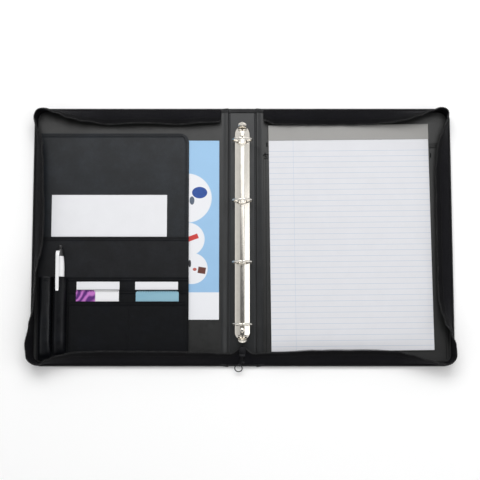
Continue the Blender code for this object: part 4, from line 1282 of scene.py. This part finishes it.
RING_YS = [MECHANISM_Y + 80.0 * (1.5 - i) for i in range(4)]
CASING_CROWN = CASING_HIGH.z
CASING_FOOT = CASING_LOW.z
CASING_WALL = 0.75
# (share of the half width, share of the height) over one half of the casing's section
ARCH = [
    (1.0, 0.0), (1.0, 0.2), (0.99, 0.36), (0.95, 0.49), (0.85, 0.585), (0.68, 0.70), (0.48, 0.825),
    (0.28, 0.945), (0.12, 0.99), (0.0, 1.0),
]
# (radius, distance along its axis) of a lever's pin and of its two ears, and of a rivet's dome
PIN = [(0.0, -7.2), (0.65, -7.15), (0.8, -6.9), (0.8, 6.9), (0.65, 7.15), (0.0, 7.2)]
EAR = [(0.9, 0.0), (1.9, 0.0), (1.95, 0.3), (1.95, 1.9), (1.9, 2.2), (0.9, 2.2)]
DOME = [
    (0.0, 1.1), (1.4, 1.1), (1.4, 9.8), (2.7, 9.8), (3.05, 10.0), (3.0, 10.35), (2.6, 10.85),
    (1.9, 11.2), (1.0, 11.4), (0.0, 11.46),
]
LEVER_PIN_Y, LEVER_PIN_Z, RIVET_Y = 135.5, 6.6, 127.5
# (distance out from the pin, height, share of the full width) along a lever
LEVER = [
    (-4.3, 4.7, 0.30), (-2.6, 4.8, 0.36), (-1.0, 5.7, 0.45), (0.6, 7.5, 0.55), (2.2, 9.8, 0.86),
    (3.7, 12.1, 1.0), (5.2, 14.2, 0.97), (6.5, 15.5, 0.84), (7.3, 16.1, 0.6), (7.7, 16.2, 0.3),
]


def arch_line(half, crown, foot, per_span=4):
    right = smooth_curve([(x, 0, z) for x, z in ARCH], per_span)
    line = [Vector((half * p.x, 0, foot + (crown - foot) * p.z)) for p in right]
    return line + [Vector((-p.x, 0, p.z)) for p in reversed(line[:-1])]


def cutter(name, left, right, low, high, bottom, top, round_r=1.4):
    """A rounded block used once to cut a hole, then removed."""
    points = []
    left, right, low, high = left + round_r, right - round_r, low + round_r, high - round_r
    for cx, cy, start in ((right, high, 0), (left, high, 90), (left, low, 180), (right, low, 270)):
        for k in range(6):
            a = math.radians(start + 18 * k)
            points.append((cx + round_r * math.cos(a), cy + round_r * math.sin(a)))
    verts, faces = sweep([[Vector((x, y, z)) for x, y in points] for z in (bottom, top)])
    return piece(name, verts, faces, NICKEL_LOOK)


def cut_away(target, cutters):
    """Boolean cuts, applied, and the cutters removed."""
    for block in cutters:
        step = target.modifiers.new("cut", "BOOLEAN")
        step.object = block
        step.solver = "EXACT"
    bpy.context.view_layer.update()
    evaluated = target.evaluated_get(bpy.context.evaluated_depsgraph_get())
    mesh = bpy.data.meshes.new_from_object(evaluated)
    target.modifiers.clear()
    target.data = mesh
    for block in cutters:
        bpy.data.objects.remove(block)


def inside_of(point, middle):
    """A point of the casing's outside, moved in by its wall."""
    if point.z > CASING_FOOT + 0.1:
        return point - (point - middle).normalized() * CASING_WALL
    return point + Vector((-math.copysign(CASING_WALL, point.x), 0, 0))


def casing():
    rows = []
    round_start = CASING_HALF - CASING_HALF_WIDTH
    turns = [round_start + CASING_HALF_WIDTH * math.sin(math.radians(a)) for a in range(8, 89, 8)]
    ys = [0.0, 30.0, 60.0, 90.0, 110.0, 125.0, round_start] + turns
    for y in sorted({-v for v in ys} | set(ys)):
        beyond = max(0.0, abs(y) - round_start) / CASING_HALF_WIDTH
        half = CASING_HALF_WIDTH * math.sqrt(max(0.002, 1 - beyond ** 2))
        crown = CASING_CROWN - 0.9 * beyond ** 3
        rows.append([Vector((p.x, MECHANISM_Y + y, p.z)) for p in arch_line(half, crown, CASING_FOOT)])
    inner = []
    for row in rows:
        middle = Vector((0, row[0].y, CASING_FOOT))
        inner.append([inside_of(p, middle) for p in row])
    width, last = len(rows[0]), len(rows) - 1
    count = len(rows) * width
    verts = [p for row in rows + inner for p in row]
    faces = quads(len(rows), width)
    faces += [tuple(reversed(f)) for f in quads(len(rows), width, start=count)]
    rim = list(range(width)) + [i * width + width - 1 for i in range(1, len(rows))]
    rim += [last * width + j for j in range(width - 2, -1, -1)] + [i * width for i in range(last - 1, 0, -1)]
    for k, a in enumerate(rim):
        b = rim[(k + 1) % len(rim)]
        faces.append((a, b, b + count, a + count))
    made = piece("casing_plate", verts, faces, NICKEL_LOOK, "spine", "nickel", ("ring_casing",), 50)
    cutters = []
    for i, y in enumerate(RING_YS):
        for side in (-1, 1):
            xs = sorted((side * 4.3, side * 9.0))
            cutters.append(cutter(f"foot_slot_{i}_{side}", *xs, y - 1.8, y + 1.8, 6.6, 14.0))
    for end in (-1, 1):
        ys = sorted((MECHANISM_Y + end * 133.8, MECHANISM_Y + end * 150.0))
        cutters.append(cutter(f"lever_slot_{end}", -5.8, 5.8, *ys, 2.0, 14.0, 1.6))
    cut_away(made, cutters)
    made.data.shade_smooth()
    made.data.set_sharp_from_angle(angle=math.radians(38))


def ring_bow():
    """Half a ring: from its tip over the top and round to its foot."""
    radius, centre_z, foot_x, wire = 12.45, 19.95, 6.3, 1.4
    first = math.degrees(math.acos(0.4 / radius))
    last = -math.degrees(math.acos(foot_x / radius))
    path = []
    for k in range(41):
        a = math.radians(first + (last + 4 - first) * k / 40)
        path.append(Vector((radius * math.cos(a), 0, centre_z + radius * math.sin(a))))
    end = path[-1]
    corners = (foot_x + 0.45, 0, end.z - 0.9), (foot_x, 0, end.z - 1.9), (foot_x, 0, 4.9)
    tail = smooth_curve([end] + [Vector(corner) for corner in corners], 4)
    return path[:-1] + tail, wire


def rings():
    path, wire = ring_bow()
    for i, y in enumerate(RING_YS):
        for side, word in ((-1, "left"), (1, "right")):
            line = [Vector((side * p.x, y, p.z)) for p in path]
            node = f"ring_{i + 1}_{word}"
            shape = tube(line, lambda t: wire * (1 - 0.16 * (1 - min(1, t * 30)) ** 2), 18, round_ends=0.9)
            piece(f"{node}_wire", *shape, NICKEL_LOOK, f"{word}_half_rings", "nickel", (node,), 50)
    for word in ("left", "right"):
        repaint(f"ring_blade_{word}", NICKEL_LOOK)


def levers():
    """Opening levers: a stem on the pin, a dished neck and a domed, rounded thumb plate."""
    curve = smooth_curve([(LEVER_PIN_Y + o, z, w) for o, z, w in LEVER], 4)
    shares = [k / 9 - 1 for k in range(19)]
    for end, word in ((1, "top"), (-1, "bottom")):
        rows = []
        for o, z, w in curve:
            half = 5.3 * w
            crown = 1.9 * ease((z - 8.0) / 4.0)
            y = MECHANISM_Y + end * o
            rows.append([Vector((half * t, y, z + crown * (1 - t * t) - 0.3 * t ** 4)) for t in shares])
        parts = [thick(rows, 0.95)]
        y = MECHANISM_Y + end * LEVER_PIN_Y
        for x in (-3.2, 1.0):
            parts.append(lathe(EAR, (x, y, LEVER_PIN_Z), (1, 0, 0), 28))
        plate = joined(parts)
        piece(f"lever_{word}_plate", *plate, NICKEL_LOOK, f"{word}_lever", "nickel", (f"lever_{word}",), 45)
        pin = lathe(PIN, (0, y, LEVER_PIN_Z), (1, 0, 0), 20)
        piece(f"lever_{word}_pin", *pin, NICKEL_LOOK, "spine", "nickel", (f"lever_pin_{word}",), 40)
        dome = lathe(DOME, (0, MECHANISM_Y + end * RIVET_Y, 0))
        piece(f"rivet_{word}_dome", *dome, NICKEL_LOOK, "spine", "nickel", (f"rivet_{word}",), 40)


# ---------------------------------------------------------------- zip slider and pull

PULL_PIVOT = Vector((0.0, -155.4, 12.2))
PULL_TURN, PULL_DROP, RING_DROP = math.radians(-16.0), math.radians(-14.0), math.radians(-28.0)
TAB_LENGTH = 13.4


def pull_frame():
    droop = Matrix.Rotation(-PULL_DROP, 4, "X")
    return Matrix.Translation(PULL_PIVOT) @ droop @ Matrix.Rotation(PULL_TURN, 4, "Z")


def ring_frame():
    joint = pull_frame() @ Matrix.Translation((0.0, -TAB_LENGTH, 0.0))
    return joint @ Matrix.Rotation(-(RING_DROP - PULL_DROP), 4, "X")


def slider_plate(z_low, z_high, dome):
    """One plate of the slider: narrow tail, broad shoulders, rounded all round."""
    low, high = span("zip_slider")
    ys = [low.y + (high.y - low.y) * k / 16 for k in range(17)]
    rows = []
    for y in ys:
        t = (y - low.y) / (high.y - low.y)
        half = 3.2 + 1.3 * ease(t / 0.7)
        half *= math.sqrt(max(0.02, 1 - max(0.0, (t - 0.86) / 0.16) ** 2))
        half *= math.sqrt(max(0.02, 1 - max(0.0, (0.1 - t) / 0.11) ** 2))
        swell = dome * math.sin(math.pi * min(1, max(0, t)))
        shares = [k / 5 - 1 for k in range(11)]
        rows.append([Vector((half * s, y, (z_low + z_high) / 2 + swell * (1 - s * s))) for s in shares])
    return thick(rows, z_high - z_low)


def zip_slider():
    low, high = span("zip_slider")
    parts = [slider_plate(low.z, low.z + 0.9, 0.0), slider_plate(9.1, 9.9, 0.35)]
    parts.append(lathe([(0.0, 6.4), (0.55, 6.4), (0.55, 9.4), (0.0, 9.4)], (0, high.y - 2.6, 0), UP, 18))
    for side in (-1, 1):
        ear = []
        for k in range(13):
            a = math.pi * k / 12
            ear.append((1.5 * math.cos(a), 11.9 + 1.35 * math.sin(a)))
        outline = [(1.6, 9.5)] + ear + [(-1.6, 9.5)]
        sections = []
        for x in (2.2, 2.35, 3.05, 3.2):
            sections.append([Vector((side * x, PULL_PIVOT.y + y, z)) for y, z in outline])
        parts.append(sweep(sections))
    bar = [(0.0, -3.6), (0.5, -3.55), (0.6, -3.4), (0.6, 3.4), (0.5, 3.55), (0.0, 3.6)]
    parts.append(lathe(bar, PULL_PIVOT, (1, 0, 0), 16))
    piece("slider_body", *joined(parts), DARK_METAL_LOOK, "slider", "slider", ("zip_slider",), 45)
    stop_low, stop_high = span("zip_end_stop")
    middle = (stop_low + stop_high) / 2
    size = stop_high - stop_low
    rows = []
    for k in range(9):
        a = math.pi * k / 8
        y = middle.y - size.y / 2 * math.cos(a) * 0.9
        z = stop_low.z + 0.3 + (size.z - 0.6) * math.sin(a) ** 0.6
        rows.append([Vector((middle.x + size.x / 2 * s, y, z)) for s in (-1, -0.6, 0, 0.6, 1)])
    piece("zip_stop_clip", *thick(rows, 0.6), DARK_METAL_LOOK, "spine", "slider", ("zip_end_stop",), 50)


def zip_pull():
    place = pull_frame()
    rows = []
    for k in range(21):
        t = k / 20
        y = -1.2 - (TAB_LENGTH - 2.2) * t
        half = 1.55 - 0.25 * math.sin(math.pi * t)
        shares = (-1, -0.8, -0.4, 0, 0.4, 0.8, 1)
        rows.append([place @ Vector((half * s, y, 0.12 * (1 - s * s))) for s in shares])
    parts = [thick(rows, 1.0)]
    across = place.to_3x3() @ Vector((1, 0, 0))
    near = place.to_translation()
    bore = [(0.9, -1.8), (1.4, -1.8), (1.5, -1.6), (1.5, 1.6), (1.4, 1.8), (0.9, 1.8), (0.9, -1.8)]
    parts.append(lathe(bore, near, (1, 0, 0), 24))
    far = place @ Vector((0, -TAB_LENGTH, 0))
    small = [(1.05, -1.35), (1.5, -1.35), (1.6, -1.15), (1.6, 1.15), (1.5, 1.35), (1.05, 1.35), (1.05, -1.35)]
    parts.append(lathe(small, far, across, 24))
    piece("pull_tab_body", *joined(parts), DARK_METAL_LOOK, "pull_tab", "slider", ("zip_pull_tab",), 45)
    place = ring_frame()
    turns = [2 * math.pi * k / 64 for k in range(64)]
    circle = [place @ Vector((4.8 * math.cos(a), -4.8 + 4.8 * math.sin(a), 0)) for a in turns]
    wire = tube(circle, 0.66, 14, closed=True)
    piece("pull_ring_wire", *wire, DARK_METAL_LOOK, "pull_ring", "slider", ("zip_pull_ring",), 60)


# ---------------------------------------------------------------- pen

PEN_X, PEN_Z = -236.0, 13.2
# (radius, place along Y) of the pen's turned parts
BARREL = [
    (4.6, -134.0), (4.8, -128.0), (5.3, -90.0), (5.75, -62.0), (5.8, -48.0), (5.4, -36.0), (4.4, -27.0),
    (3.5, -21.2), (3.1, -19.7),
]
COLLAR = [
    (2.55, -18.9), (3.1, -18.8), (3.45, -19.3), (3.75, -21.0), (4.3, -24.6), (4.75, -27.4), (4.4, -27.6),
    (2.6, -27.6), (2.55, -18.9),
]
TIP = [
    (0.0, -134.2), (4.45, -134.2), (4.5, -134.8), (4.3, -138.0), (3.4, -142.2), (2.2, -146.0),
    (1.0, -149.0), (0.5, -149.9), (0.0, -150.0),
]
KNOB = [
    (0.0, -13.3), (1.5, -13.35), (2.15, -13.7), (2.4, -14.4), (2.4, -17.4), (2.2, -17.8), (2.2, -24.0),
    (0.0, -24.0),
]
# (place along Y, height) of the clip
CLIP = [
    (-21.0, 17.2), (-22.4, 19.3), (-25.0, 20.7), (-30.0, 21.1), (-50.0, 21.05), (-66.0, 20.7),
    (-70.0, 20.6), (-72.3, 21.2),
]


def pen():
    axis = (0, 1, 0)
    at = (PEN_X, 0, PEN_Z)
    outer = smooth_curve([(radius, 0, y) for radius, y in BARREL], 6)
    barrel = [(0.0, -134.0)] + [(p.x, p.z) for p in outer] + [(2.5, -19.5), (2.5, -28.0), (0.0, -28.0)]
    for name, profile, count, look, body, slot, nodes in (
            ("pen_body", barrel, 48, PEN_WHITE_LOOK, "pen", "pen_white", ("pen_barrel",)),
            ("pen_collar", COLLAR, 40, PEN_BLACK_LOOK, "pen", "pen_black", ()),
            ("pen_point", TIP, 40, NICKEL_LOOK, "pen", "nickel", ("pen_tip",)),
            ("pen_knob", KNOB, 40, PEN_BLACK_LOOK, "pen_clicker", "pen_black", ("pen_button",))):
        piece(name, *lathe(profile, at, axis, count), look, body, slot, nodes, 35)
    curve = smooth_curve([(0, y, z) for y, z in CLIP], 5)
    low, high = span("pen_clip")
    clip_x = (low.x + high.x) / 2
    shares = (-1, -0.75, -0.4, 0, 0.4, 0.75, 1)
    rows = []
    for i, p in enumerate(curve):
        t = i / (len(curve) - 1)
        half = 2.2 * (1 - 0.22 * t) * (1 if t < 0.96 else 0.8)
        rows.append([Vector((clip_x + half * s, p.y, p.z + 0.35 * (1 - s * s) - 0.2)) for s in shares])
    piece("pen_clip_bar", *thick(rows, 0.8), PEN_WHITE_LOOK, "pen", "pen_white", ("pen_clip",), 50)


# ---------------------------------------------------------------- camera, light and floor

CAMERA_AT = Vector((-0.003, -0.1314, 1.2583))
CAMERA_TILT = 0.1
LENS = 72.3


def camera():
    data = bpy.data.cameras.new("camera")
    data.lens = LENS
    data.sensor_width = 36.0
    made = bpy.data.objects.new("camera", data)
    made.location = CAMERA_AT
    made.rotation_euler = (CAMERA_TILT, 0.0, 0.0)
    bpy.context.scene.collection.objects.link(made)
    bpy.context.scene.camera = made


def area_light(name, at, towards, size, power):
    data = bpy.data.lights.new(name, "AREA")
    data.shape = "RECTANGLE"
    data.size, data.size_y = size
    data.energy = power
    made = bpy.data.objects.new(name, data)
    made.location = at
    made.rotation_euler = (Vector(towards) - Vector(at)).to_track_quat("-Z", "Y").to_euler()
    bpy.context.scene.collection.objects.link(made)


def studio():
    """A pale tent that is dim overhead, where the camera is, with soft boxes around the case."""
    world = bpy.data.worlds.new("studio")
    world.use_nodes = True
    tree = world.node_tree
    place = tree.nodes.new("ShaderNodeTexCoord")
    toward = tree.nodes.new("ShaderNodeVectorMath")
    toward.operation = "DOT_PRODUCT"
    toward.inputs[1].default_value = Vector((0.0, -0.22, 1.0)).normalized()
    level_of = tree.nodes.new("ShaderNodeMapRange")
    level_of.interpolation_type = "SMOOTHSTEP"
    for key, value in (("From Min", 0.62), ("From Max", 0.97), ("To Min", 0.80), ("To Max", 0.10)):
        level_of.inputs[key].default_value = value
    tree.links.new(place.outputs["Generated"], toward.inputs[0])
    tree.links.new(toward.outputs["Value"], level_of.inputs["Value"])
    tree.links.new(level_of.outputs["Result"], tree.nodes["Background"].inputs["Strength"])
    tree.nodes["Background"].inputs["Color"].default_value = (1.0, 1.0, 1.0, 1.0)
    bpy.context.scene.world = world
    area_light("head_light", (-0.1, 1.1, 1.3), (0.0, 0.0, 0.0), (1.6, 0.8), 14.0)
    area_light("side_light", (1.5, -0.1, 1.0), (0.0, -0.1, 0.0), (0.8, 1.6), 4.6)
    area_light("foot_light", (0.2, -1.5, 1.1), (0.0, -0.1, 0.0), (1.4, 0.6), 1.6)
    area_light("top_light", (0.12, 0.62, 1.7), (0.0, 0.0, 0.0), (1.5, 0.9), 5.8)
    bpy.context.scene.view_settings.view_transform = "Standard"
    g = Graph("floor", (0.97, 0.97, 0.97), 0.9)
    g.colour(g.mix(g.noise(3.0), (0.975, 0.975, 0.975), (0.99, 0.99, 0.99)))
    half = 14.0
    bpy.ops.mesh.primitive_plane_add(size=2 * half, location=(0.0, 0.0, -0.0004))
    floor = bpy.context.object
    floor.name = "floor"
    floor.data.materials.append(g.material)


camera()
studio()
covers()
gussets()
pocket_panels()
sleeves()
pad_pocket()
contents()
writing_pad()
casing()
rings()
levers()
zip_slider()
zip_pull()
pen()
